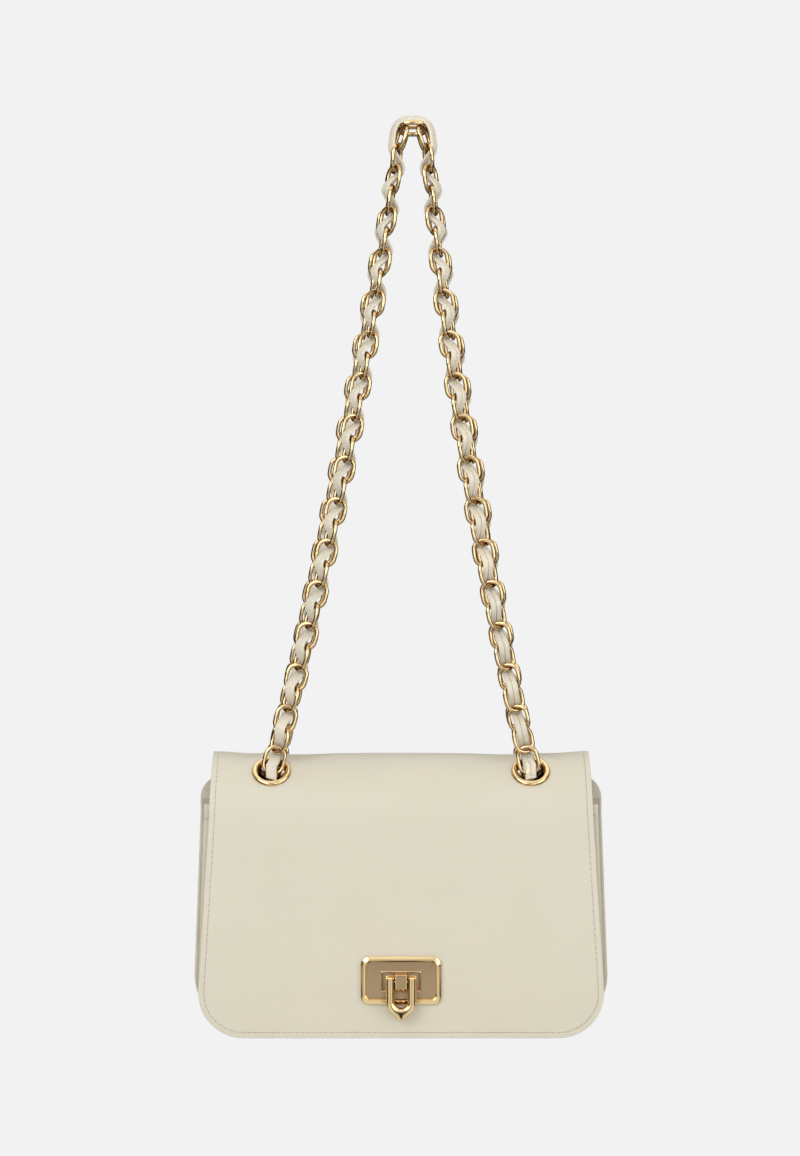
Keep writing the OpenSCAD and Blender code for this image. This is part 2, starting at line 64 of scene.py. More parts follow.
# Camera: the photo's height in pixels, what one pixel covers at the flap, and where the camera stands
FILM = 36
FILM_HEIGHT = 1156
PIXEL = 0.5526 * MM
CAMERA_X = -0.6 * MM
CAMERA_DISTANCE = 2.2
CAMERA_HEIGHT = 0.2549

# Lights: name, place, aim, width, height and power
LIGHTS = (
    ("key_light", (-1.3, -1.9, 1.5), (0, 0, 0.15), 1.6, 1.2, 22),
    ("fill_light", (1.7, -1.5, 0.9), (0, 0, 0.15), 1.6, 1.6, 14),
    ("top_light", (0, 0.5, 2.2), (0, 0, 0.1), 2.0, 1.4, 5),
    ("low_light", (0, -2.6, 0.5), (0, 0, 0.1), 2.4, 0.8, 7),
)

# World: what the metal mirrors at which height, from 0 straight down to 1 straight up, and its soft light
DARK_STOP = 0.66
CARD_STOP = 0.82
SKY_STOP = 0.90
SKY_COLOUR = (1.30, 1.26, 1.15)
SOFT_LIGHT = 0.55

# Depths on the floor between which the grey band that the metal mirrors comes in, and goes out
GREY_STARTS = (-0.12, -0.25)
GREY_ENDS = (-0.45, -0.80)

# Sizes that the frame gives
BACK_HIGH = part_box("back_panel")[1]
FRONT_LOW, FRONT_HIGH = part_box("front_panel")
FLAP_LOW, FLAP_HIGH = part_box("flap_panel")
CROWN_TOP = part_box("crown_panel")[1][2]
GUSSET_LOW, GUSSET_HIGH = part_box("gusset")
BINDING_LOW, BINDING_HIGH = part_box("front_binding")
POCKET_LOW, POCKET_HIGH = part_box("slip_pocket")
PLATE_LOW, PLATE_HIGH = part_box("lock_plate")
KNUCKLE_LOW, KNUCKLE_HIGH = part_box("lock_knuckle")
LOOP_LOW, LOOP_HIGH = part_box("flip_loop")
PIN_LOW, PIN_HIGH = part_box("latch_pin")

CROWN_RADIUS = BACK_HIGH[1]
CROWN_CENTRE = CROWN_TOP - CROWN_RADIUS
LEATHER = FRONT_HIGH[1] - FRONT_LOW[1]
FOLD_HEIGHT = (FLAP_HIGH[2] + BACK_HIGH[2]) / 2
PLATE_MIDDLE = (Vector(PLATE_LOW) + Vector(PLATE_HIGH)) / 2
PIN_MIDDLE = (Vector(PIN_LOW) + Vector(PIN_HIGH)) / 2
FLAP_FOOT = FLAP_LOW[2] - 0.9 * MM

# Leather and cloth: angle in degrees of a sharp edge, holes for the eyelets and the keeper and how far from
# their middle a cut reaches, rounding of the edges, thickness of the cloth, and length of the mesh rows
SHARP = 50
LEATHER_HOLE = 8.5 * MM
CLOTH_HOLE = 12.2 * MM
KEEPER_HOLE = 7.6 * MM
HOLE_REACH = 20 * MM
COVER_ROUND = 0.45 * MM
FRONT_ROUND = 0.4 * MM
GUSSET_ROUND = 0.3 * MM
SHEET_CLOTH = 0.8 * MM
COVER_ROW = 3.2 * MM
CROWN_ROW = 2.4 * MM
PANEL_ROW = 3.4 * MM

# Relaxed leather: seat round each eyelet, and the crown's sag beside the eyelets and at its ends
SEAT_INSIDE = 11.4 * MM
SEAT_OUTSIDE = 20 * MM
SAG_BESIDE = (57 * MM, 17 * MM, 0.32)
SAG_END = (85 * MM, 0.44)

# Slow waves: how close they lie, how far the lock and the keeper keep them still, and how far from an edge
# they reach their full height
COVER_WAVES = 21.0
FRONT_WAVES = 24.0
WAVE_PLACE = Vector((3.1, 0.4, 1.7))
COVER_QUIET = (26 * MM, 60 * MM)
FRONT_QUIET = (14 * MM, 40 * MM)
WAVES_FROM = 30 * MM

# Stitch: thread as (share of its half length, half width, rise) in its rings, and the half sizes and rise of
# the dark disc painted as the shade of its needle hole
STITCH_HALF = 0.36
STITCH_RINGS = ((-1.0, 0.08, -0.10), (-0.55, 0.20, 0.02), (0.0, 0.23, 0.08), (0.55, 0.20, 0.02),
                (1.0, 0.08, -0.10))
NEEDLE_HALF = (0.26 * MM, 0.36 * MM)
NEEDLE_RISE = 0.04 * MM

# Gusset: mesh columns from front to back, those in each turned edge, the edge's round, the gusset's thickness,
# how far its underside stands off the floor, and the length of one mesh row
GUSSET_COLUMNS = 28
GUSSET_TURN = 5
GUSSET_EDGE = 3.2 * MM
GUSSET_THICK = 1.3 * MM
GUSSET_LIFT = 1.1 * MM
GUSSET_STEP = 4 * MM

# Lock: field behind the plate's face; frame as inset, corner and level from face or field; window and its lip
PLATE_FIELD = PLATE_HIGH[1] - 1.2 * MM
PLATE_RINGS = (
    (0.0, 4.4, PLATE_HIGH[1]), (0.0, 4.4, PLATE_LOW[1] + 1.1 * MM), (0.15, 4.35, PLATE_LOW[1] + 0.85 * MM),
    (0.45, 4.2, PLATE_LOW[1] + 0.64 * MM), (2.0, 3.4, PLATE_LOW[1] + 0.06 * MM), (2.2, 3.3, PLATE_LOW[1]),
    (2.4, 3.2, PLATE_LOW[1] + 0.08 * MM), (2.75, 3.0, PLATE_FIELD - 0.2 * MM), (2.85, 2.95, PLATE_FIELD))
WINDOW_HALF = (10.2 * MM, 4.9 * MM)
WINDOW_LIP = 0.8 * MM
KNUCKLE_BEVEL = 0.45 * MM

# Flip loop's bar where it is drawn out to the point: across and up, as shares of its radius
LOOP_FACETS = ((1.0, 0.0), (0.80, 0.42), (0.52, 0.80), (0.30, 0.97), (0.0, 0.99), (-0.35, 0.95), (-0.7, 0.72),
               (-0.93, 0.36), (-1.0, 0.0), (-0.93, -0.36), (-0.7, -0.72), (-0.35, -0.95), (0.0, -0.99),
               (0.30, -0.97), (0.52, -0.80), (0.80, -0.42))

# Straps: a side's length over its height, and how far the top link overlaps its neighbours and stands above
# them; turns in degrees of the flat side at the top, on the left within so many links, and of the last links
STRAP_SLACK = 1.02
TOP_OVERLAP = 3 * MM
TOP_LIFT = 2.1 * MM
TOP_FACING = 60
LEFT_FACING = 35
LEFT_LINKS = 2.5
LINK_LAST = 30
LOW_TWIST = radians(10)
INNER_TWIST = radians(50)

# Strips: link numbers where they start, the arch over the top links, and how they come down into an eyelet
STRIP_START = 0.4
INNER_START = 1.3
STRIP_PADDING = 0.25 * MM
ARCH_STEPS = 17
ARCH_HALF = 11.2 * MM
ARCH_RISE = 5.5 * MM
ARCH_FOOT = 6 * MM
STRIP_FEET = ((2.0 * MM, 2.6 * MM), (2.4 * MM, 0.2 * MM), (2.7 * MM, -2.2 * MM), (2.5 * MM, -4.6 * MM))
STRIP_SECTION = (
    (1.0, 0.0), (0.94, 0.55), (0.78, 0.85), (0.4, 1.0), (0.10, 1.0), (0.0, 1.0), (-0.10, 1.0), (-0.4, 1.0),
    (-0.78, 0.85), (-0.94, 0.55), (-1.0, 0.0), (-0.94, -0.55), (-0.78, -0.85), (-0.4, -1.0), (-0.10, -1.0),
    (0.0, -1.0), (0.10, -1.0), (0.4, -1.0), (0.78, -0.85), (0.94, -0.55))
SEAM_POINT = 15
SEAM_DEPTH = 0.8


def as_length(name, description, default):
    """Property for a length in metres"""
    return bpy.props.FloatProperty(name=name, description=description, default=default, unit="LENGTH")


def as_angle(name, description, default):
    """Property for an angle"""
    return bpy.props.FloatProperty(name=name, description=description, default=default, subtype="ANGLE")


def as_count(name, description, default):
    """Property for a whole number"""
    return bpy.props.IntProperty(name=name, description=description, default=default)


def as_colour(name, description, default, **more):
    """Property for a colour"""
    return bpy.props.FloatVectorProperty(
        name=name, description=description, default=default, subtype="COLOR", **more)


class BagSizes(bpy.types.PropertyGroup):
    """Sizes of the bag that the frame's boxes do not give"""
    panel_corner: as_length("Panel corner", "Radius of the lower corners of the panels", 0.028)
    flap_corner: as_length("Flap corner", "Radius of the flap's lower corners", 0.025)
    panel_taper: as_length("Panel taper", "Narrowing of each panel side towards its top", 0.0035)
    flap_top: as_length("Flap top", "Half width of the flap at its fold", 0.1063)
    flap_flare: as_length("Flap flare", "Extra half width of the soft flap at its lower corners", 0.0012)
    crown_half: as_length("Crown half width", "Half width of the crown", 0.105)
    shoulder: as_length("Shoulder", "Radius of the back shoulders", 0.014)
    lining: as_length("Lining", "Thickness of the lining cloth", 0.0006)
    column: as_length("Mesh column", "Width of one mesh column in the leather", 0.003)
    softness: as_length("Softness", "Height of the slow waves in the leather", 0.0002)
    dip: as_length("Crown dip", "Sag of the crown along its top", 0.0025)
    gusset_bow: as_length("Gusset bow", "How far the gusset folds in at its middle", 0.006)
    stitch_pitch: as_length("Stitch pitch", "Length of one stitch", 0.0033)
    stitch_inset: as_length("Stitch inset", "Distance of the stitching from the edge", 0.0031)
    front_stitch_inset: as_length("Front stitch inset", "Distance of the front panel's stitching from its edge",
                               0.0078)
    eyelet_x: as_length("Eyelet place", "Distance of each eyelet from the middle", 0.072)
    eyelet_bore: as_length("Eyelet bore", "Bore of the eyelets", 0.0148)
    eyelet_rim: as_length("Eyelet rim", "Outside diameter of the eyelets", 0.0218)
    eyelet_tilt: as_angle("Eyelet tilt", "Tilt of the eyelets from upright", radians(45))
    eyelet_seat: as_length("Eyelet seat", "How far the leather is pressed in under an eyelet", 0.0008)
    wire_full: as_length("Wire fullness", "How much thicker than the plain wire the plated links look", 0.00025)
    wire: as_length("Chain wire", "Diameter of the chain wire", 0.002)
    link_width: as_length("Link width", "Outside width of a link", 0.013)
    link_play: as_length("Link play", "Play between two joined links", 0.0006)
    swing_play: as_length("Swing play", "Extra play of the links that a strap swings on", 0.0008)
    link_twist: as_angle("Link twist", "Twist of each link from the chain's flat side", radians(25))
    side_links: as_count("Side links", "Links in each side of a strap, below the top three", 30)
    inner_links: as_count("Inner links", "Links under the crown between two eyelets", 5)
    strip_width: as_length("Strip width", "Width of the woven leather strip", 0.0062)
    strip_thickness: as_length("Strip thickness", "Thickness of the woven leather strip", 0.0012)
    strip_wave: as_length("Strip wave", "How far the strip weaves to each side", 0.0042)
    strap_top: as_length("Strap top", "Height of the top link above the floor", 0.507)
    strap_shift: as_length("Strap shift", "Sideways shift of the strap's top", 0.0065)
    strap_top_y: as_length("Strap top depth", "Distance of the strap's top from the middle plane", 0.0074)
    front_bow: as_length("Front bow", "Bow of the front strap", 0.0373)
    rear_bow: as_length("Rear bow", "Bow of the rear strap", 0.050)
    top_bend: as_angle("Top bend", "Bend between the top link and its neighbours", radians(72))
    loop_bar: as_length("Loop bar", "Diameter of the flip loop's bar", 0.005)


class BagColours(bpy.types.PropertyGroup):
    """Colours of the bag and its stage"""
    leather: as_colour("Leather", "Colour of the leather", (0.705, 0.664, 0.538))
    leather_shade: as_colour("Leather shade", "Darker tone that varies the leather", (0.692, 0.651, 0.525))
    # Painted shade: the bag's leather made darker for the shade that the folded-in gusset lies in
    gusset: as_colour("Gusset", "Colour of the gusset leather", (0.600, 0.545, 0.430))
    edge: as_colour("Edge paint", "Colour of the painted leather edges", (0.450, 0.385, 0.290))
    thread: as_colour("Thread", "Colour of the sewing thread", (0.660, 0.615, 0.490))
    # Painted shade: the dark colour laid at the needle holes
    needle: as_colour("Needle hole", "Colour of the needle holes", (0.180, 0.150, 0.100))
    # Painted shade: the lining cloth made darker for the shade inside the bag
    lining: as_colour("Lining", "Colour of the lining cloth", (0.300, 0.250, 0.170))
    gold: as_colour("Gold", "Colour of the plated metal", (0.880, 0.685, 0.385))
    # Painted shade: the plating's gold made darker for the chain links and eyelets
    chain: as_colour("Chain", "Colour of the plated links", (0.760, 0.585, 0.325))
    # Painted light: the bag's leather made lighter and warmer for the woven strips, which the links shade
    strip: as_colour("Strip", "Colour of the leather strip in the chains", (0.830, 0.755, 0.600))
    # Painted shade: a dark orange-brown that ambient occlusion lays into the hollows of the plating
    gold_hollow_shade: as_colour("Deep gold", "Warmer tone of the plating in its hollows", (0.400, 0.170, 0.050))
    steel: as_colour("Steel", "Colour of the inner fittings", (0.560, 0.545, 0.520))
    board: as_colour("Board", "Colour of the base board", (0.310, 0.225, 0.140))
    backdrop: as_colour("Backdrop", "Colour of the floor and background", (0.888, 0.888, 0.888))
    dark_side: as_colour("Dark side", "Dark part of the room that the metal mirrors", (0.045, 0.036, 0.026))
    card: as_colour("Card", "Bright cards that the metal mirrors", (0.85, 0.82, 0.76), soft_max=2.0)
    low_side: as_colour("Low side", "Floor tone that the metal mirrors", (0.430, 0.395, 0.405))


def sizes():
    """The sizes kept on the scene"""
    return bpy.context.scene.bag_sizes


def colours():
    """The colours kept on the scene"""
    return bpy.context.scene.bag_colours


# Node groups and materials

def add_node(tree, kind, **values):
    """Adds a node, setting its properties, and its inputs where a name matches one"""
    node = tree.nodes.new(kind)
    for name, value in values.items():
        if hasattr(node, name):
            setattr(node, name, value)
        else:
            node.inputs[name.replace("_", " ")].default_value = value
    return node


def set_inputs(node, **values):
    """Sets the inputs of a node by name, with _ for a space"""
    for name, value in values.items():
        node.inputs[name.replace("_", " ")].default_value = value


def noise_value(tree, place, scale, detail=3.0, rough=0.5):
    """Value of a noise texture on a coordinate"""
    node = add_node(tree, "ShaderNodeTexNoise", Scale=scale, Detail=detail, Roughness=rough)
    tree.links.new(place, node.inputs["Vector"])
    return node.outputs["Fac"]


def remap(tree, value, low, high, to_low=0.0, to_high=1.0):
    """Map range of a value"""
    node = add_node(tree, "ShaderNodeMapRange", From_Min=low, From_Max=high, To_Min=to_low, To_Max=to_high)
    tree.links.new(value, node.inputs["Value"])
    return node.outputs["Result"]


def calculate(tree, operation, first, second):
    """Math node of a socket and a socket or number"""
    node = add_node(tree, "ShaderNodeMath", operation=operation)
    tree.links.new(first, node.inputs[0])
    if isinstance(second, (int, float)):
        node.inputs[1].default_value = second
    else:
        tree.links.new(second, node.inputs[1])
    return node.outputs["Value"]


def leather_grain(tree, place):
    """Fine leather grain: height, slow tone and pore mask"""
    cells = add_node(tree, "ShaderNodeTexVoronoi", feature="DISTANCE_TO_EDGE", Scale=2300.0)
    tree.links.new(place, cells.inputs["Vector"])
    creases = remap(tree, cells.outputs["Distance"], 0.0, 0.16)
    height = calculate(tree, "MULTIPLY_ADD", noise_value(tree, place, 5200.0, 2.0), 0.35)
    tree.links.new(creases, height.node.inputs[2])
    return height, noise_value(tree, place, 26.0, 4.0, 0.6), creases


def twill_weave(tree, place):
    """Twill lining cloth on the sheet's own map: height and thread mask"""
    waves = []
    for direction, scale in (("DIAGONAL", 900.0), ("X", 1500.0), ("Y", 1500.0)):
        wave = add_node(tree, "ShaderNodeTexWave", wave_type="BANDS", bands_direction=direction,
                        Scale=scale, Distortion=0.6)
        tree.links.new(place, wave.inputs["Vector"])
        waves.append(wave.outputs["Fac"])
    threads = calculate(tree, "MULTIPLY", waves[1], waves[2])
    tone = calculate(tree, "MULTIPLY", noise_value(tree, place, 90.0), waves[0])
    return calculate(tree, "ADD", waves[0], threads), tone


def plated_polish(tree, place):
    """Plated metal: very fine scratches and soft smears"""
    stretch = add_node(tree, "ShaderNodeMapping", Scale=(1.0, 1.0, 9.0))
    tree.links.new(place, stretch.inputs["Vector"])
    scratches = noise_value(tree, stretch.outputs["Vector"], 700.0, 4.0, 0.7)
    return scratches, noise_value(tree, place, 160.0, 2.0)


def glow_cards(tree, place):
    """Mask of two bright cards left and right in front of the bag, by direction or by place on the floor"""
    split = add_node(tree, "ShaderNodeSeparateXYZ")
    tree.links.new(place, split.inputs["Vector"])
    across = calculate(tree, "ABSOLUTE", split.outputs["X"], 0.0)
    ahead = calculate(tree, "MULTIPLY", split.outputs["Y"], -1.0)
    ratio = calculate(tree, "DIVIDE", across, ahead)
    rise = remap(tree, ratio, 0.08, 0.22)
    fall = remap(tree, ratio, 0.7, 1.1, 1.0, 0.0)
    return (calculate(tree, "MULTIPLY", rise, fall),)


GROUPS = {
    "leather_grain": (leather_grain, "Height", "Tone", "Pores"),
    "twill_weave": (twill_weave, "Height", "Tone"),
    "plated_polish": (plated_polish, "Height", "Smear"),
    "side_glow": (glow_cards, "Mask"),
}


def node_group(name):
    """One of the shared node groups, made the first time that it is asked for: a vector in, values out"""
    tree = bpy.data.node_groups.get(name)
    if tree:
        return tree
    fill, *outputs = GROUPS[name]
    tree = bpy.data.node_groups.new(name, "ShaderNodeTree")
    tree.interface.new_socket(name="Vector", in_out="INPUT", socket_type="NodeSocketVector")
    for output in outputs:
        tree.interface.new_socket(name=output, in_out="OUTPUT", socket_type="NodeSocketFloat")
    start = add_node(tree, "NodeGroupInput")
    end = add_node(tree, "NodeGroupOutput")
    for output, value in zip(outputs, fill(tree, start.outputs["Vector"])):
        tree.links.new(value, end.inputs[output])
    return tree


def add_effect(tree, name, coordinate="Object"):
    """Lays a shared group on one of the texture coordinates"""
    place = add_node(tree, "ShaderNodeTexCoord").outputs[coordinate]
    effect = add_node(tree, "ShaderNodeGroup", node_tree=node_group(name))
    tree.links.new(place, effect.inputs["Vector"])
    return effect


def side_glow(tree, base, coordinate):
    """Colour that the metal mirrors: a base colour with the bright cards over it"""
    effect = add_effect(tree, "side_glow", coordinate)
    node = add_node(tree, "ShaderNodeMix", data_type="RGBA", B=(*colours().card, 1.0))
    tree.links.new(base, node.inputs["A"])
    tree.links.new(effect.outputs["Mask"], node.inputs["Factor"])
    return node.outputs["Result"]


def start_material(name, group, coordinate="Object"):
    """New material with a Principled shader and a shared group"""
    made = bpy.data.materials.new(name)
    made.use_nodes = True
    tree = made.node_tree
    return made, tree, tree.nodes["Principled BSDF"], add_effect(tree, group, coordinate)


def blend_colour(tree, factor, first, second):
    """Mix of two plain colours by a mask"""
    node = add_node(tree, "ShaderNodeMix", data_type="RGBA", A=(*first, 1.0), B=(*second, 1.0))
    tree.links.new(factor, node.inputs["Factor"])
    return node.outputs["Result"]


def add_bump(tree, shader, height, strength, distance):
    """Bump from a height on the shader's normal"""
    bump = add_node(tree, "ShaderNodeBump", Strength=strength, Distance=distance)
    tree.links.new(height, bump.inputs["Height"])
    tree.links.new(bump.outputs["Normal"], shader.inputs["Normal"])


def leather_material(name, light, dark, grain=0.25, rough=0.47):
    """Smooth coated leather with a fine grain"""
    made, tree, shader, effect = start_material(name, "leather_grain")
    tone = effect.outputs["Tone"]
    worn = add_node(tree, "ShaderNodeMix", data_type="RGBA", blend_type="MULTIPLY", Factor=1.0)
    tree.links.new(blend_colour(tree, remap(tree, tone, 0.35, 0.65), light, dark), worn.inputs["A"])
    tree.links.new(remap(tree, effect.outputs["Pores"], 0.0, 1.0, 0.97, 1.0), worn.inputs["B"])
    tree.links.new(worn.outputs["Result"], shader.inputs["Base Color"])
    tree.links.new(remap(tree, tone, 0.3, 0.7, rough - 0.02, rough + 0.02), shader.inputs["Roughness"])
    set_inputs(shader, Specular_IOR_Level=0.42, Sheen_Weight=0.05, Subsurface_Weight=0.03,
               Subsurface_Radius=(0.0015, 0.0011, 0.0007))
    add_bump(tree, shader, effect.outputs["Height"], grain, 0.00006)
    return made


def cloth_material(name, tint):
    """Woven twill cloth"""
    made, tree, shader, effect = start_material(name, "twill_weave", "UV")
    tone = effect.outputs["Tone"]
    dark = tuple(channel * 0.72 for channel in tint)
    tree.links.new(blend_colour(tree, remap(tree, tone, 0.05, 0.55), dark, tint), shader.inputs["Base Color"])
    tree.links.new(remap(tree, tone, 0.0, 0.6, 0.78, 0.9), shader.inputs["Roughness"])
    set_inputs(shader, Sheen_Weight=0.2)
    add_bump(tree, shader, effect.outputs["Height"], 0.4, 0.00012)
    return made


def metal_material(name, tint, hollow_shade, rough=0.09, scratch=0.03, clear=0.85):
    """Polished plated metal with painted shade laid into its hollows by ambient occlusion; clear is how open a
    place must be to keep its tint
    """
    made, tree, shader, effect = start_material(name, "plated_polish")
    hollow = add_node(tree, "ShaderNodeAmbientOcclusion", Distance=0.005)
    # Painted shade: the occlusion mask blends the hollow shade colour into hollows and crevices
    mask = remap(tree, hollow.outputs["AO"], 0.2, clear)
    tree.links.new(blend_colour(tree, mask, hollow_shade, tint), shader.inputs["Base Color"])
    tree.links.new(remap(tree, effect.outputs["Smear"], 0.3, 0.7, rough * 0.7, rough * 1.5),
                   shader.inputs["Roughness"])
    set_inputs(shader, Metallic=1.0)
    add_bump(tree, shader, effect.outputs["Height"], scratch, 0.00004)
    return made


def board_material(name, tint):
    """Pressed board with flecks"""
    made, tree, shader, effect = start_material(name, "leather_grain")
    dark = tuple(channel * 0.6 for channel in tint)
    tone = remap(tree, effect.outputs["Tone"], 0.3, 0.7)
    tree.links.new(blend_colour(tree, tone, dark, tint), shader.inputs["Base Color"])
    tree.links.new(remap(tree, effect.outputs["Pores"], 0.0, 1.0, 0.9, 0.75), shader.inputs["Roughness"])
    add_bump(tree, shader, effect.outputs["Height"], 0.5, 0.0002)
    return made


def material(name):
    """One of the bag's materials, made the first time that it is asked for"""
    made = bpy.data.materials.get(name)
    if made:
        return made
    c = colours()
    maker, *values = {
        "bag_leather": (leather_material, c.leather, c.leather_shade),
        # Painted light: the strips' lighter copy of the leather
        "bag_strip": (leather_material, c.strip, c.leather, 0.05, 0.42),
        # Painted shade: the darkened gusset leather, mixed at random with the edge paint colour
        "bag_gusset": (leather_material, c.gusset, c.edge, 0.35, 0.55),
        "bag_edge": (leather_material, c.edge, c.gusset, 0.1, 0.4),
        "bag_thread": (leather_material, c.thread, c.edge, 0.6, 0.6),
        "bag_needle": (leather_material, c.needle, c.needle, 0.1, 0.8),
        # Painted shade: the darkened lining cloth
        "bag_lining": (cloth_material, c.lining),
        "bag_gold": (metal_material, c.gold, c.gold_hollow_shade),
        # Painted shade: darker gold, whose painted hollow shade reaches further out of the hollows
        "bag_chain": (metal_material, c.chain, c.gold_hollow_shade, 0.09, 0.03, 1.0),
        # Painted shade: the steel takes the edge paint colour in its hollows
        "bag_steel": (metal_material, c.steel, c.edge, 0.28, 0.12),
        "bag_board": (board_material, c.board),
    }[name]
    return maker(name, *values)


# Mesh helpers

def new_piece(name, verts, faces, *materials):
    """Mesh object at the origin from points and faces, with its materials"""
    mesh = bpy.data.meshes.new(name)
    mesh.from_pydata([tuple(v) for v in verts], [], faces)
    piece = bpy.data.objects.new(name, mesh)
    bpy.context.collection.objects.link(piece)
    for entry in materials:
        mesh.materials.append(material(entry))
    return piece


@contextmanager
def open_mesh(piece):
    """The piece's mesh, open for editing and put back after it"""
    mesh = bmesh.new()
    mesh.from_mesh(piece.data)
    yield mesh
    mesh.to_mesh(piece.data)
    mesh.free()


def added(name):
    """The object that an operator has just added, named with its data"""
    piece = bpy.context.view_layer.objects.active
    piece.name = name
    piece.data.name = name
    return piece


def choose(piece):
    """Selects one object and makes it active"""
    bpy.ops.object.select_all(action="DESELECT")
    piece.select_set(True)
    bpy.context.view_layer.objects.active = piece


def put_modifier(piece, kind, **values):
    """Adds a modifier with its values and applies it"""
    choose(piece)
    modifier = piece.modifiers.new(kind.title(), kind)
    for name, value in values.items():
        setattr(modifier, name, value)
    bpy.ops.object.modifier_apply(modifier=modifier.name)


def smooth(piece, angle=40):
    """Smooth shading up to an angle in degrees"""
    choose(piece)
    bpy.ops.object.shade_smooth_by_angle(angle=radians(angle))


def outward(piece):
    """Turns every face of a closed piece outward"""
    choose(piece)
    bpy.ops.object.mode_set(mode="EDIT")
    bpy.ops.mesh.select_all(action="SELECT")
    bpy.ops.mesh.normals_make_consistent(inside=False)
    bpy.ops.object.mode_set(mode="OBJECT")


def join(pieces, name):
    """Joins several objects into one"""
    bpy.ops.object.select_all(action="DESELECT")
    for piece in pieces:
        piece.select_set(True)
    bpy.context.view_layer.objects.active = pieces[0]
    bpy.ops.object.join()
    return added(name)


def bake_place(piece):
    """Moves an object's place and turn into its mesh"""
    choose(piece)
    bpy.ops.object.transform_apply(location=True, rotation=True, scale=True)


def repeat(piece, name, places):
    """Copies of a piece's mesh at several transforms, as one object; the pattern goes away"""
    verts = []
    faces = []
    indices = []
    pattern = piece.data
    for place in places:
        first = len(verts)
        verts += [place @ v.co for v in pattern.vertices]
        faces += [[first + i for i in face.vertices] for face in pattern.polygons]
        indices += [face.material_index for face in pattern.polygons]
    names = [entry.name for entry in pattern.materials]
    bpy.data.objects.remove(piece)
    made = new_piece(name, verts, faces, *names)
    made.data.polygons.foreach_set("material_index", indices)
    return made


def tube(name, rings, materials, closed_path=False):
    """Skin over a row of closed rings, capped at both ends unless the row closes on itself"""
    count = len(rings[0])
    verts = [point for ring in rings for point in ring]
    faces = []
    for j in range(len(rings) if closed_path else len(rings) - 1):
        after = (j + 1) % len(rings)
        for k in range(count):
            nxt = (k + 1) % count
            faces.append([j * count + k, j * count + nxt, after * count + nxt, after * count + k])
    if not closed_path:
        faces.append(list(range(count - 1, -1, -1)))
        faces.append([len(verts) - count + k for k in range(count)])
    piece = new_piece(name, verts, faces, *materials)
    outward(piece)
    return piece


def sheet_grid(name, rows, columns, place, material_name):
    """Open sheet of rows by columns, with a map in metres; place(row, column) gives point and map"""
    verts = []
    marks = []
    for row in range(rows + 1):
        for column in range(columns + 1):
            point, mark = place(row, column)
            verts.append(point)
            marks.append(mark)
    faces = []
    for row in range(rows):
        for column in range(columns):
            a = row * (columns + 1) + column
            faces.append([a, a + 1, a + columns + 2, a + columns + 1])
    piece = new_piece(name, verts, faces, material_name)
    layer = piece.data.uv_layers.new(name="cloth")
    for loop in piece.data.loops:
        layer.data[loop.index].uv = marks[loop.vertex_index]
    return piece


def thicken(piece, thickness, rim_material=None, keep=None, bevel=0.0):
    """Gives a sheet its thickness behind its face, and rounds its rim except where keep(point) is true"""
    if rim_material:
        piece.data.materials.append(material(rim_material))
    put_modifier(piece, "SOLIDIFY", thickness=thickness, offset=-1.0, use_even_offset=True,
                 material_offset_rim=1 if rim_material else 0)
    if bevel:
        with open_mesh(piece) as mesh:
            sharp = [edge for edge in mesh.edges
                     if edge.is_manifold and edge.calc_face_angle(0.0) > radians(SHARP)
                     and not (keep and all(keep(v.co) for v in edge.verts))]
            bmesh.ops.bevel(mesh, geom=sharp, offset=bevel, segments=2, profile=0.5, affect="EDGES",
                            clamp_overlap=True)
    smooth(piece, SHARP)


def step_up(value, low, high):
    """Smooth step from 0 at low to 1 at high"""
    t = min(1.0, max(0.0, (value - low) / (high - low)))
    return t * t * (3 - 2 * t)


# Shape of the cover: back panel, crown and flap as one rounded strip

def on_cover(length, side, depth=0.0):
    """Point of the cover at a path length up from the floor, and its outward normal; side 1 is the back"""
    if length <= CROWN_CENTRE:
        normal = Vector((0, side, 0))
        return Vector((0, side * (CROWN_RADIUS - depth), length)), normal
    angle = (length - CROWN_CENTRE) / CROWN_RADIUS
    normal = Vector((0, side * cos(angle), sin(angle)))
    return Vector((0, 0, CROWN_CENTRE)) + normal * (CROWN_RADIUS - depth), normal


def path_length(height):
    """Path length up the cover at a height"""
    if height <= CROWN_CENTRE:
        return height
    return CROWN_CENTRE + CROWN_RADIUS * asin(min(1.0, (height - CROWN_CENTRE) / CROWN_RADIUS))


def panel_half(height, bottom, top, half_low, half_top, corner):
    """Half width of a panel with round lower corners and straight sides that lean in towards the top"""
    rise = height - bottom
    if rise < corner:
        return half_low - corner + sqrt(max(0.0, corner ** 2 - (corner - rise) ** 2))
    return half_low + (half_top - half_low) * (rise - corner) / (top - bottom - corner)


def back_half(height, inset=0.0):
    """Half width of the back, with its round shoulders, at a height"""
    s = sizes()
    low = BACK_HIGH[0]
    top = low - s.panel_taper
    if height > FRONT_HIGH[2]:
        up = min(1.0, (height - FRONT_HIGH[2]) / s.shoulder)
        return max(s.crown_half, top - s.shoulder + s.shoulder * sqrt(1 - up * up)) - inset
    if height > CROWN_CENTRE:
        return top - inset
    return panel_half(height, inset, CROWN_CENTRE, low - inset, top - inset, s.panel_corner - inset)


def back_bend(height):
    """How far the back's inner face has curved forward at a height"""
    radius = CROWN_RADIUS - LEATHER
    rise = max(0.0, height - CROWN_CENTRE)
    return radius - sqrt(radius ** 2 - rise ** 2)


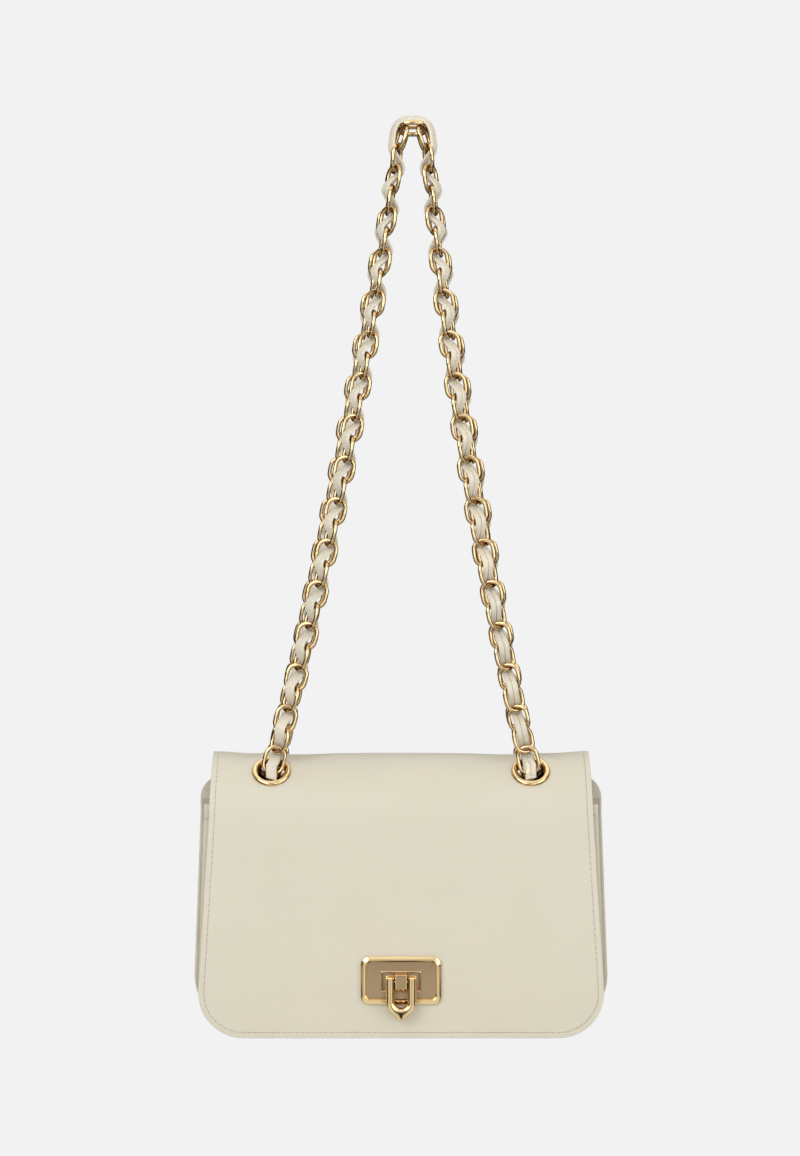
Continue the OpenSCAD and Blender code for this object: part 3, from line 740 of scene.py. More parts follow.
def flap_half(height, inset=0.0):
    """Half width of the flap and the front of the crown at a height"""
    s = sizes()
    if height > CROWN_CENTRE:
        share = (height - CROWN_CENTRE) / CROWN_RADIUS
        return s.flap_top + (s.crown_half - s.flap_top) * share - inset
    return panel_half(height, FLAP_FOOT + inset, CROWN_CENTRE, FLAP_HIGH[0] + s.flap_flare - inset,
                      s.flap_top - inset, s.flap_corner - inset)


def eyelet_places():
    """Side, end and axis of each of the four eyelets"""
    tilt = sizes().eyelet_tilt
    return [(side, end, Vector((0, -end * sin(tilt), cos(tilt)))) for side in (-1, 1) for end in (-1, 1)]


def from_eyelet(point):
    """Distance of a point from the nearest eyelet's axis, the axis, and the point's level along it"""
    best = None
    for side, _, axis in eyelet_places():
        arm = point - Vector((side * sizes().eyelet_x, 0, CROWN_CENTRE))
        away = (arm - axis * arm.dot(axis)).length
        if arm.dot(axis) > 0 and (best is None or away < best[0]):
            best = (away, axis, arm.dot(axis))
    return best


def relax(point, normal, depth=0.0):
    """Moves a point of the cover to where the soft leather lies: seats, sag and slow waves"""
    s = sizes()
    near = from_eyelet(point)
    calm = 1.0
    if near:
        away, axis, level = near
        seat = step_up(away, SEAT_OUTSIDE, SEAT_INSIDE)
        goal = point + axis * (CROWN_RADIUS - s.eyelet_seat - depth - level)
        calm = 1.0 - seat
        across = abs(point.x)
        place, spread, more = SAG_BESIDE
        start, less = SAG_END
        beside = (across - place) / spread
        sag = s.dip * (1 + more * exp(-beside * beside) - less * step_up(across, start, s.crown_half))
        sag *= pow(max(0.0, normal.z), 6) * calm
        point = point.lerp(goal, seat) - normal * sag
    quiet = step_up((point - PLATE_MIDDLE).length, *COVER_QUIET) * calm
    inner = step_up(point.z, 4 * MM, WAVES_FROM)
    wave = noise.noise(Vector((point.x, point.y * 0.5, point.z)) * COVER_WAVES + WAVE_PLACE)
    return point + normal * s.softness * wave * quiet * inner


def cover_rows(bottom, corner, shoulder):
    """Path lengths of the cover's rows from the lower edge to the crown's top, close where it curves"""
    turns = 10
    rows = [bottom + corner * (1 - cos(pi / 2 * i / turns)) for i in range(turns)]
    straight = CROWN_CENTRE - bottom - corner
    count = round(straight / COVER_ROW)
    rows += [bottom + corner + straight * i / count for i in range(count)]
    middle = path_length(FRONT_HIGH[2])
    rows += [CROWN_CENTRE + (middle - CROWN_CENTRE) * i / 4 for i in range(4)]
    if shoulder:
        rows += [path_length(FRONT_HIGH[2] + shoulder * sin(pi / 2 * i / 10)) for i in range(10)]
        middle = path_length(FRONT_HIGH[2] + shoulder)
    top = path_length(CROWN_TOP)
    count = round((top - middle) / CROWN_ROW)
    rows += [middle + (top - middle) * i / count for i in range(count)]
    rows += [top - 0.4 * MM, top]
    return rows


def cover_sheet(name, side, rows, half, depth, material_name):
    """Sheet of the cover on one side, mapped out to its outline and laid on the relaxed shape"""
    columns = 2 * round(BACK_HIGH[0] / sizes().column)

    def place(row, column):
        length = rows[row]
        point, normal = on_cover(length, side, depth)
        point.x = (2 * column / columns - 1) * half(point.z + depth * normal.z)
        laid = relax(point, normal, depth)
        return laid, (point.x, length)
    return sheet_grid(name, len(rows) - 1, columns, place, material_name)


def cut_round(piece, centre, axis, radius):
    """Cuts a round hole through a sheet, with the cut edge drawn onto the circle"""
    def arm(point, within):
        """Arm from the axis to a point within a distance of it and close to the sheet, or nothing"""
        offset = point - centre
        level = offset.dot(axis)
        reach = offset - axis * level
        return reach if reach.length < within and abs(level) < HOLE_REACH else None
    with open_mesh(piece) as mesh:
        near = [face for face in mesh.faces if arm(face.calc_center_median(), radius) is not None]
        bmesh.ops.delete(mesh, geom=near, context="FACES")
        for vert in mesh.verts:
            reach = arm(vert.co, 1.5 * radius)
            if vert.is_boundary and reach is not None:
                vert.co += reach.normalized() * (radius - reach.length)


def cut_eyelets(piece, end, radius):
    """Cuts the two eyelet holes on one end of the crown, the front end being 1"""
    s = sizes()
    for side, this_end, axis in eyelet_places():
        if this_end == end:
            middle = Vector((side * s.eyelet_x, 0, CROWN_CENTRE)) + axis * CROWN_RADIUS
            cut_round(piece, middle, axis, radius)


def at_seam(point):
    """True on the line over the crown where the front and back pieces meet"""
    return abs(point.y) < 0.1 * MM and point.z > CROWN_CENTRE


def ride_cover(piece, side):
    """Bakes a piece of the cover's place into its mesh; side, 1 for the back fold and -1 for the front one,
    changes nothing
    """
    if side > 0:
        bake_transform(piece)
    else:
        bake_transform(piece)


# Stitching

def stitch_pattern(pitch):
    """One stitch along Y with Z up, as rings of points: a thread, plump in its middle"""
    return [[Vector((width * MM * cos(a), along * (pitch * STITCH_HALF), rise * MM + 0.8 * width * MM * sin(a)))
             for a in (0, pi / 3, 2 * pi / 3, pi, 4 * pi / 3, 5 * pi / 3)]
            for along, width, rise in STITCH_RINGS]


def stitches(name, runs):
    """Stitching along runs of (point, normal) pairs, with a dark disc of painted shade at each needle hole"""
    pitch = sizes().stitch_pitch
    pattern = tube("stitch", stitch_pattern(pitch), ["bag_thread", "bag_needle"])
    verts = [v.co.copy() for v in pattern.data.vertices]
    faces = [list(f.vertices) for f in pattern.data.polygons]
    bpy.data.objects.remove(pattern)
    across, along = NEEDLE_HALF
    # Painted shade: a dark disc just over the leather at each needle hole
    hole = [Vector((across * cos(pi / 4 * i), pitch / 2 + along * sin(pi / 4 * i), NEEDLE_RISE))
            for i in range(8)]
    all_verts = []
    all_faces = []
    indices = []
    for run in runs:
        for (start, first_normal), (finish, last_normal) in zip(run, run[1:]):
            along = (finish - start).normalized()
            normal = (first_normal + last_normal).normalized()
            across = along.cross(normal).normalized()
            normal = across.cross(along)
            turn = Matrix((across, along, normal)).transposed().to_4x4()
            place = Matrix.Translation((start + finish) / 2) @ turn
            base = len(all_verts)
            all_verts += [place @ v for v in verts + hole]
            all_faces += [[base + i for i in f] for f in faces]
            all_faces.append([base + len(verts) + i for i in range(8)])
            indices += [0] * len(faces) + [1]
    piece = new_piece(name, all_verts, all_faces, "bag_thread", "bag_needle")
    piece.data.polygons.foreach_set("material_index", indices)
    smooth(piece, 60)
    return piece


def even_run(points, pitch):
    """Points at an even pitch along a polyline in two dimensions"""
    lengths = [0.0]
    for a, b in zip(points, points[1:]):
        lengths.append(lengths[-1] + hypot(b[0] - a[0], b[1] - a[1]))
    count = round(lengths[-1] / pitch)
    run = []
    spot = 0
    for i in range(count + 1):
        goal = lengths[-1] * i / count
        while spot < len(lengths) - 2 and lengths[spot + 1] < goal:
            spot += 1
        share = (goal - lengths[spot]) / max(1e-9, lengths[spot + 1] - lengths[spot])
        a, b = points[spot], points[spot + 1]
        run.append((a[0] + (b[0] - a[0]) * share, a[1] + (b[1] - a[1]) * share))
    return run


def outline(bottom, top, half_low, half_top, corner, turns=14):
    """Outline of a panel from its top left corner down, across and up to its top right corner"""
    left = [(-half_top, top)]
    for i in range(turns + 1):
        angle = pi + pi / 2 * i / turns
        left.append((-half_low + corner + corner * cos(angle), bottom + corner + corner * sin(angle)))
    return left + [(-x, z) for x, z in reversed(left)]


def outline_normals(points):
    """Outward normals along an outline, in the panel's plane"""
    normals = []
    for i in range(len(points)):
        a = points[max(0, i - 1)]
        b = points[min(len(points) - 1, i + 1)]
        run = hypot(b[0] - a[0], b[1] - a[1])
        normals.append(((b[1] - a[1]) / run, (a[0] - b[0]) / run))
    return normals


# Leather and cloth

def cover_stitch_run(side, half, bottom, corner, half_low, half_top, up_to):
    """Stitch points up one side, or down, across and up where the piece has a free lower edge"""
    s = sizes()
    inset = s.stitch_inset
    top = path_length(up_to)
    points = []
    heights = [CROWN_CENTRE + (top - CROWN_CENTRE) * i / 12 for i in range(12, 0, -1)]
    for length in heights:
        flat = on_cover(length, side)[0]
        points.append((-half(flat.z, inset), length))
    points += outline(bottom + inset, CROWN_CENTRE, half_low - inset, half_top - inset, corner - inset)
    points += [(-x, length) for x, length in reversed(points[:len(heights)])]
    run = []
    for x, length in even_run(points, s.stitch_pitch):
        flat, normal = on_cover(length, side)
        flat.x = x
        run.append((relax(flat, normal), normal))
    return run


def make_cover():
    """Back leather and flap leather, with their stitching"""
    s = sizes()
    rows = cover_rows(0.0, s.panel_corner, s.shoulder)
    back = cover_sheet("back_leather", 1, rows, back_half, 0.0, "bag_leather")
    cut_eyelets(back, -1, LEATHER_HOLE)
    flip_faces(back)
    thicken(back, LEATHER, "bag_edge", at_seam, COVER_ROUND)
    ride_cover(back, 1)
    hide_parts("back_panel")

    rows = cover_rows(FLAP_FOOT, s.flap_corner, 0.0)
    flap = cover_sheet("flap_leather", -1, rows, flap_half, 0.0, "bag_leather")
    cut_eyelets(flap, 1, LEATHER_HOLE)
    thicken(flap, LEATHER, "bag_edge", at_seam, COVER_ROUND)
    ride_cover(flap, -1)
    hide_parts("flap_panel", "crown_panel")

    run = cover_stitch_run(-1, flap_half, FLAP_FOOT, s.flap_corner, FLAP_HIGH[0] + s.flap_flare, s.flap_top,
                           CROWN_TOP - 1.5 * MM)
    seam = stitches("flap_stitches", [run])
    ride_cover(seam, -1)
    run = cover_stitch_run(1, back_half, 0.0, s.panel_corner, BACK_HIGH[0], BACK_HIGH[0] - s.panel_taper,
                           FOLD_HEIGHT)
    seam = stitches("back_stitches", [run])
    ride_cover(seam, 1)


def flip_faces(piece):
    """Turns an open sheet's faces over"""
    with open_mesh(piece) as mesh:
        bmesh.ops.reverse_faces(mesh, faces=mesh.faces[:])


def make_cover_linings():
    """Lining cloth behind the flap and under the crown"""
    s = sizes()
    edge = LEATHER + 0.3 * MM
    rows = cover_rows(FLAP_FOOT + edge, s.flap_corner - edge, 0.0)
    front = cover_sheet("flap_lining_cloth", -1, rows, lambda z: flap_half(z, edge), LEATHER, "bag_lining")
    cut_eyelets(front, 1, CLOTH_HOLE)
    thicken(front, SHEET_CLOTH, keep=at_seam)
    ride_cover(front, -1)
    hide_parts("flap_lining")

    start = path_length(FRONT_HIGH[2] + 0.4 * MM)
    top = path_length(CROWN_TOP)
    rows = [start + (top - start) * i / 22 for i in range(23)]
    rear = cover_sheet("crown_lining_cloth", 1, rows, lambda z: min(s.crown_half - edge, back_half(z, edge)),
                       LEATHER, "bag_lining")
    cut_eyelets(rear, -1, CLOTH_HOLE)
    flip_faces(rear)
    thicken(rear, SHEET_CLOTH, keep=at_seam)
    ride_cover(rear, 1)
    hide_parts("crown_lining")


def front_half(height, inset=0.0, rise=0.0):
    """Half width of the front panel at a height"""
    s = sizes()
    low = FRONT_HIGH[0]
    return panel_half(height, rise, FRONT_HIGH[2], low - inset, low - s.panel_taper - inset,
                      s.panel_corner - inset)


def flat_sheet(name, depth, inset, rise, bow, facing, material_name):
    """Sheet in the front panel's outline at one depth; bow(x, z) moves it in depth"""
    s = sizes()
    corner = s.panel_corner - inset
    top = FRONT_HIGH[2]
    heights = [rise + corner * (1 - cos(pi / 2 * i / 10)) for i in range(10)]
    count = round((top - rise - corner) / PANEL_ROW)
    heights += [rise + corner + (top - rise - corner) * i / count for i in range(count + 1)]
    columns = 2 * round(FRONT_HIGH[0] / COVER_ROW)

    def place(row, column):
        z = heights[row]
        x = (2 * column / columns - 1) * front_half(z, inset, rise)
        return Vector((x, depth + bow(x, z), z)), (x, z)
    piece = sheet_grid(name, len(heights) - 1, columns, place, material_name)
    if facing > 0:
        flip_faces(piece)
    return piece


def front_wave(x, z):
    """Slow waves of the front panel, still at its edges and at the keeper"""
    quiet = step_up(hypot(x, z - PLATE_MIDDLE.z), *FRONT_QUIET)
    edge = (step_up(front_half(z) - abs(x), 4 * MM, WAVES_FROM)
            * step_up(FRONT_HIGH[2] - z, 8 * MM, WAVES_FROM))
    return sizes().softness * quiet * edge * noise.noise(Vector((x, 0.7, z)) * FRONT_WAVES)


def make_front():
    """Front panel leather, its bound top edge and their stitching"""
    s = sizes()
    front = flat_sheet("front_leather", FRONT_LOW[1], 0.0, 0.0, front_wave, -1, "bag_leather")
    middle = Vector((0, FRONT_LOW[1], PLATE_MIDDLE.z))
    cut_round(front, middle, Vector((0, 1, 0)), KEEPER_HOLE)
    thicken(front, LEATHER, "bag_edge", None, FRONT_ROUND)
    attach(front, "bag_body")
    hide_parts("front_panel")

    inset = s.front_stitch_inset
    low = FRONT_HIGH[0]
    points = outline(inset, BINDING_LOW[2] - 1 * MM, low - inset, low - s.panel_taper - inset,
                     s.panel_corner - inset)
    normal = Vector((0, -1, 0))
    sides = [(Vector((x, FRONT_LOW[1] + front_wave(x, z), z)), normal)
             for x, z in even_run(points, s.stitch_pitch)]
    half = BINDING_HIGH[0] - 2 * MM
    band = [(Vector((x, BINDING_LOW[1], BINDING_LOW[2] + 1.6 * MM)), normal)
            for x, z in even_run([(-half, 0), (half, 0)], s.stitch_pitch)]
    seam = stitches("front_stitches", [sides, band])
    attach(seam, "bag_body")
    make_binding()


def make_binding():
    """Leather band folded over the front panel's top edge"""
    face = BINDING_LOW[1]
    inside = BINDING_HIGH[1]
    middle = (face + inside) / 2
    reach = (inside - face) / 2
    thick = 0.75 * MM
    crest = BINDING_HIGH[2] - reach
    outer = [(face + 0.1 * MM, BINDING_LOW[2])]
    outer += [(middle - reach * cos(pi * i / 12), crest + reach * sin(pi * i / 12)) for i in range(13)]
    outer.append((inside, BINDING_LOW[2] + 2 * MM))
    inner = [(inside - thick, BINDING_LOW[2] + 2 * MM)]
    inner += [(middle + (reach - thick) * cos(pi * i / 12), crest + (reach - thick) * sin(pi * i / 12))
              for i in range(13)]
    inner.append((face + thick, BINDING_LOW[2]))
    section = outer + inner
    half = BINDING_HIGH[0]
    rings = []
    for i in range(41):
        x = half * (2 * i / 40 - 1)
        pinch = 0.25 * MM * (1 - step_up(half - abs(x), 0, 2 * MM))
        rings.append([Vector((x, y, z - pinch)) for y, z in section])
    binding = tube("front_binding_leather", rings, ["bag_leather"])
    smooth(binding, 45)
    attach(binding, "bag_body")
    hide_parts("front_binding")


def gusset_bow(z, share):
    """How far the gusset folds in, at a height and a share of the way from front to back"""
    return sizes().gusset_bow * step_up(z, 24 * MM, 95 * MM) * sin(pi * share) ** 2


def gusset_band(name, inset, rise, section, material_name):
    """Band along the gusset's outline; section(share) gives depth and offset for a point of the outline"""
    low = FRONT_HIGH[0]
    taper = sizes().panel_taper
    corner = sizes().panel_corner - inset
    points = even_run(outline(rise, FRONT_HIGH[2], low - inset, low - taper - inset, corner), GUSSET_STEP)
    normals = outline_normals(points)

    def place(row, column):
        (x, z), (out_x, out_z) = points[row], normals[row]
        depth, offset = section(column / GUSSET_COLUMNS, z, abs(out_x))
        return Vector((x + out_x * offset, depth, z + out_z * offset)), (depth, row * GUSSET_STEP)
    return sheet_grid(name, len(points) - 1, GUSSET_COLUMNS, place, material_name)


def make_gusset():
    """Gusset folded in at the sides, with its edges turned out against the panels"""
    inset = FRONT_HIGH[0] - GUSSET_HIGH[0]
    front = GUSSET_LOW[1] + 0.05 * MM
    rear = GUSSET_HIGH[1] - 0.05 * MM
    flange = inset - 0.6 * MM
    rear_flange = BACK_HIGH[0] - GUSSET_HIGH[0] - 1.0 * MM

    def section(share, z, upright):
        step = share * GUSSET_COLUMNS
        left = GUSSET_COLUMNS - step
        if step <= GUSSET_TURN:
            angle = pi / 2 * step / GUSSET_TURN
            return front + GUSSET_EDGE * (1 - cos(angle)), flange * (1 - sin(angle)) * upright
        if left <= GUSSET_TURN:
            angle = pi / 2 * left / GUSSET_TURN
            return (rear - GUSSET_EDGE * (1 - cos(angle)) - back_bend(z),
                    rear_flange * (1 - sin(angle)) * upright)
        between = (step - GUSSET_TURN) / (GUSSET_COLUMNS - 2 * GUSSET_TURN)
        depth = front + GUSSET_EDGE + (rear - front - 2 * GUSSET_EDGE) * between
        return depth - back_bend(z) * between, -gusset_bow(z, between)
    gusset = gusset_band("gusset_leather", inset, GUSSET_LIFT, section, "bag_gusset")
    thicken(gusset, GUSSET_THICK, "bag_edge", None, GUSSET_ROUND)
    outward(gusset)
    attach(gusset, "bag_body")
    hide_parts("gusset")


def make_tub():
    """Lining of the body: two walls and a band that follows the gusset"""
    s = sizes()
    front = GUSSET_LOW[1]
    rear = GUSSET_HIGH[1]
    inset = FRONT_HIGH[0] - GUSSET_HIGH[0] + LEATHER
    floor_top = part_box("base_board")[1][2] + 0.1 * MM

    def section(share, z, upright):
        depth = front + s.lining + (rear - front - 2 * s.lining) * share
        return depth - back_bend(z) * share, -gusset_bow(z, share)
    band = gusset_band("lining_band", inset, floor_top, section, "bag_lining")
    put_modifier(band, "SOLIDIFY", thickness=s.lining, offset=-1.0)
    walls = []
    for depth, facing in ((front + 0.05 * MM, 1), (rear - 0.05 * MM, -1)):
        wall = flat_sheet("lining_wall", depth, inset, floor_top,
                          lambda x, z: -back_bend(z) if facing < 0 else 0.0, facing, "bag_lining")
        put_modifier(wall, "SOLIDIFY", thickness=s.lining, offset=1.0)
        walls.append(wall)
    tub = join([band] + walls, "lining_tub")
    outward(tub)
    smooth(tub, 45)
    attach(tub, "bag_body")
    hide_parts("body_lining")


def make_pocket():
    """Slip pocket on the back wall, a little open at its mouth, with a turned hem"""
    s = sizes()
    half = POCKET_HIGH[0]
    bottom = POCKET_LOW[2]
    top = POCKET_HIGH[2]
    face = POCKET_LOW[1]
    wall = POCKET_HIGH[1] - 0.1 * MM
    columns = 44
    rows = 30

    def place(row, column):
        x = half * (2 * column / columns - 1)
        z = bottom + (top - bottom) * row / rows
        inside = min(half - abs(x), z - bottom)
        lift = step_up(inside, 1.5 * MM, 12 * MM)
        slack = 0.3 * MM * sin(3 * pi * x / half) * step_up(z, top - 30 * MM, top)
        return Vector((x, wall + (face + 0.4 * MM - wall) * lift + slack * lift, z)), (x, z)
    pocket = sheet_grid("pocket_cloth", rows, columns, place, "bag_lining")
    thicken(pocket, SHEET_CLOTH)
    hem_rings = []
    for column in range(columns + 1):
        spot = place(rows, column)[0]
        hem_rings.append([spot + Vector((0, 0.4 * MM + 0.75 * MM * cos(a), 1.3 * MM * sin(a) - 1.3 * MM))
                          for a in (pi / 4 * i for i in range(8))])
    hem = tube("pocket_hem", hem_rings, ["bag_lining"])
    pocket = join([pocket, hem], "pocket_cloth")
    smooth(pocket, 45)
    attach(pocket, "bag_body")
    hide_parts("slip_pocket")
    edge = 1.2 * MM
    corners = [(-half + edge, top - 3 * MM), (-half + edge, bottom + edge), (half - edge, bottom + edge),
               (half - edge, top - 3 * MM)]
    run = [(Vector((x, wall - 1.0 * MM, z)), Vector((0, -1, 0))) for x, z in even_run(corners, s.stitch_pitch)]
    seam = stitches("pocket_stitches", [run])
    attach(seam, "bag_body")


# Metal fittings

def eyelet_profile():
    """Half section of an eyelet as radius and level: rolled rim, barrel and its turned foot"""
    s = sizes()
    bore = s.eyelet_bore / 2
    wall = 0.6 * MM
    bar = (s.eyelet_rim / 2 - bore) / 2
    seat = CROWN_RADIUS - s.eyelet_seat
    foot = seat - LEATHER - 2 * wall
    rim = [(bore + bar - bar * cos(pi * i / 16), seat + bar * sin(pi * i / 16)) for i in range(17)]
    foot_turn = [(bore + wall + 1.2 * MM, foot), (bore + wall + 1.3 * MM, foot + wall / 2),
                 (bore + wall + 1.2 * MM, foot + wall)]
    return ([(bore, foot + wall)] + rim + [(bore + wall, seat)] + [(bore + wall, foot + wall)]
            + list(reversed(foot_turn)) + [(bore + wall / 2, foot)])


def make_eyelets():
    """One eyelet turned from its half section, repeated at its four places"""
    s = sizes()
    turns = 64
    profile = eyelet_profile()
    rings = [[Vector((r * cos(2 * pi * i / turns), r * sin(2 * pi * i / turns), level))
              for r, level in profile] for i in range(turns)]
    pattern = tube("eyelet", rings, ["bag_chain"], True)
    places = [Matrix.Translation((side * s.eyelet_x, 0, CROWN_CENTRE))
              @ Matrix.Rotation(end * s.eyelet_tilt, 4, "X") for side, end, _ in eyelet_places()]
    eyelets = repeat(pattern, "eyelet_rims", places)
    smooth(eyelets, 40)
    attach(eyelets, "crown")
    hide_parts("eyelets")


def add_block(name, low, high):
    """Cube primitive between two corners, with its place in its mesh"""
    middle = (Vector(low) + Vector(high)) / 2
    bpy.ops.mesh.primitive_cube_add(size=1, location=middle)
    block = added(name)
    block.scale = Vector(high) - Vector(low)
    bake_place(block)
    return block


def cut_with(piece, tool):
    """Cuts one piece with another, which goes away"""
    put_modifier(piece, "BOOLEAN", operation="DIFFERENCE", solver="EXACT", object=tool)
    bpy.data.objects.remove(tool)


def pin_cutter(diameter):
    """Cylinder along the latch pin"""
    bpy.ops.mesh.primitive_cylinder_add(vertices=32, radius=diameter / 2, depth=40 * MM, location=PIN_MIDDLE,
                                        rotation=(0, pi / 2, 0))
    tool = bpy.context.view_layer.objects.active
    bake_place(tool)
    return tool


def rounded_ring(half_x, half_z, corner, y, middle, turns=6):
    """Rounded rectangle in X and Z at one depth"""
    ring = []
    for quarter, (sx, sz) in enumerate(((1, 1), (-1, 1), (-1, -1), (1, -1))):
        for i in range(turns + 1):
            angle = pi / 2 * (quarter + i / turns)
            ring.append(Vector((middle.x + sx * (half_x - corner) + corner * cos(angle), y,
                                middle.z + sz * (half_z - corner) + corner * sin(angle))))
    return ring


def make_lock():
    """Lock plate with its bevelled frame and window, and the knuckle that holds the pin"""
    half_x = (PLATE_HIGH[0] - PLATE_LOW[0]) / 2
    half_z = (PLATE_HIGH[2] - PLATE_LOW[2]) / 2
    rings = [rounded_ring(half_x - inset * MM, half_z - inset * MM, corner * MM, y, PLATE_MIDDLE)
             for inset, corner, y in PLATE_RINGS]
    plate = tube("lock_plate_gold", rings, ["bag_gold"])
    window_x, window_z = WINDOW_HALF
    lip_rings = []
    for share, rise in ((1.0, -0.1), (1.0, 0.25), (0.7, 0.45), (0.3, 0.45), (0.0, 0.25)):
        grow = WINDOW_LIP * share
        lip_rings.append(rounded_ring(window_x + grow, window_z + grow, 0.8 * MM, PLATE_FIELD - rise * MM,
                                      PIN_MIDDLE, 3))
    border = tube("window_border", lip_rings, ["bag_gold"])
    hole = add_block("window", (-window_x, PLATE_FIELD - 3 * MM, PIN_MIDDLE.z - window_z),
                     (window_x, PLATE_HIGH[1] - 0.4 * MM, PIN_MIDDLE.z + window_z))
    hole_too = hole.copy()
    hole_too.data = hole.data.copy()
    bpy.context.collection.objects.link(hole_too)
    cut_with(plate, hole)
    cut_with(border, hole_too)
    plate = join([plate, border], "lock_plate_gold")
    smooth(plate, 28)
    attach(plate, "flap")
    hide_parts("lock_plate")

    knuckle = add_block("lock_knuckle_gold", KNUCKLE_LOW, KNUCKLE_HIGH)
    knuckle.data.materials.append(material("bag_gold"))
    put_modifier(knuckle, "BEVEL", width=KNUCKLE_BEVEL, segments=3, limit_method="ANGLE")
    cut_with(knuckle, pin_cutter(2.0 * MM))
    smooth(knuckle, 5)
    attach(knuckle, "flap")
    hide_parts("lock_knuckle")


def make_flip_loop():
    """Round bar bent to a U, its foot drawn out to a faceted point"""
    bar = sizes().loop_bar / 2
    arm = LOOP_HIGH[0] - bar
    depth = (LOOP_LOW[1] + LOOP_HIGH[1]) / 2
    top = LOOP_HIGH[2]
    tip = LOOP_LOW[2]
    bend = tip + 2.6 * MM + bar + arm
    reach = bend - tip
    spread = acos((arm + bar) / reach)
    count = 24

    def section(centre, out, stretch, share, size=1.0):
        ring = []
        for k, (across, rise) in enumerate(LOOP_FACETS):
            angle = 2 * pi * k / len(LOOP_FACETS)
            radial = (cos(angle) * (1 - share) + across * share) * bar * size
            if radial > 0:
                radial *= stretch
            high = (sin(angle) * (1 - share) + rise * share) * bar * size
            ring.append(centre + out * radial - Vector((0, high, 0)))
        return ring
    rings = []
    for size, z in ((0.8, top), (1.0, top - 0.5 * MM), (1.0, bend + 4 * MM)):
        rings.append(section(Vector((arm, depth, z)), Vector((1, 0, 0)), 1.0, 0.0, size))
    for i in range(count + 1):
        angle = pi * i / count
        out = Vector((cos(angle), 0, -sin(angle)))
        away = abs(angle - pi / 2)
        stretch = 1.0
        if away < spread:
            stretch = ((arm + bar) / cos(spread - away) - arm) / bar
        share = step_up(away, spread, spread * 0.45)
        rings.append(section(Vector((0, depth, bend)) + out * arm, out, stretch, share))
    for size, z in ((1.0, bend + 4 * MM), (1.0, top - 0.5 * MM), (0.8, top)):
        rings.append(section(Vector((-arm, depth, z)), Vector((-1, 0, 0)), 1.0, 0.0, size))
    loop = tube("flip_loop_gold", rings, ["bag_gold"])
    cut_with(loop, pin_cutter(2.1 * MM))
    smooth(loop, 24)
    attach(loop, "latch")
    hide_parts("flip_loop")


# Straps: links and strips follow the same path as the CAD chains

def strap_facts():
    """Swing point, lean, pitch and top heights that follow from the sizes"""
    s = sizes()
    pivot_y = CROWN_RADIUS * sin(s.eyelet_tilt)
    pivot_z = CROWN_CENTRE + CROWN_RADIUS * cos(s.eyelet_tilt)
    lean = atan2(pivot_y - s.strap_top_y, s.strap_top - pivot_z)
    pitch = (s.strap_top - pivot_z) * STRAP_SLACK / (s.side_links + 1)
    top_height = (s.strap_top - pivot_z) / cos(lean)
    top_half = (pitch + s.wire + s.link_play) / 2
    neighbour_x = top_half - TOP_OVERLAP + top_half * cos(s.top_bend)
    neighbour_drop = top_half * sin(s.top_bend) - TOP_LIFT
    return {
        "pivot_y": pivot_y, "pivot_z": pivot_z, "lean": lean, "pitch": pitch, "top_height": top_height,
        "neighbour_x": neighbour_x, "neighbour_drop": neighbour_drop,
        "joint_x": neighbour_x + cos(s.top_bend) * pitch / 2,
        "joint_height": top_height - neighbour_drop - sin(s.top_bend) * pitch / 2,
    }


class Strand:
    """One side of a strap: its path in the strap's own plane, in link numbers up from the top"""

    def __init__(self, side, bow, shift):
        self.side = side
        self.bow = bow
        self.shift = shift
        self.facts = strap_facts()
        steps = 60
        self.shares = [1 - i / steps for i in range(steps + 1)]
        points = [self.point(t) for t in self.shares]
        self.lengths = [0.0]
        for a, b in zip(points, points[1:]):
            self.lengths.append(self.lengths[-1] + (b - a).length)

    def point(self, t):
        """Point of the path at a share of the way down"""
        f = self.facts
        width = f["joint_x"] + self.bow * t + (sizes().eyelet_x - f["joint_x"] - self.bow) * t * t
        return Vector((self.shift * (1 - t) + self.side * width, 0, f["joint_height"] * (1 - t)))

    def at(self, u):
        """Point at a link number, 0 at the eyelet"""
        goal = self.lengths[-1] * u / sizes().side_links
        spot = 0
        while spot < len(self.lengths) - 2 and self.lengths[spot + 1] < goal:
            spot += 1
        share = (goal - self.lengths[spot]) / (self.lengths[spot + 1] - self.lengths[spot])
        return self.point(self.shares[spot] + (self.shares[spot + 1] - self.shares[spot]) * share)

    def facing(self, u, last=0.0):
        """Turn of the flat side from the front: more towards the top, and soon on the left strand"""
        share = max(0.0, min(1.0, u / sizes().side_links))
        turn = TOP_FACING * pow(share, 1.2) + last * pow(share, 6)
        if self.side < 0:
            turn += LEFT_FACING * (1 - exp(-max(0.0, u) / LEFT_LINKS)) * (1 - share)
        return radians(turn)

    def heading(self, u):
        """Direction of the path"""
        return (self.at(min(sizes().side_links, u + 0.05)) - self.at(max(0.0, u - 0.05))).normalized()

    def normal(self, u):
        """Direction in which the strip weaves"""
        d = self.heading(u)
        f = self.facing(u)
        return Vector((self.side * d.z * sin(f), -cos(f), -self.side * d.x * sin(f)))

    def strip_middle(self, u):
        """Middle of the strip"""
        return self.at(u) + sizes().strip_wave * cos(pi * u) * self.normal(u)

    def strip_across(self, u):
        """Direction across the strip"""
        return -self.side * self.heading(u).cross(self.normal(u))


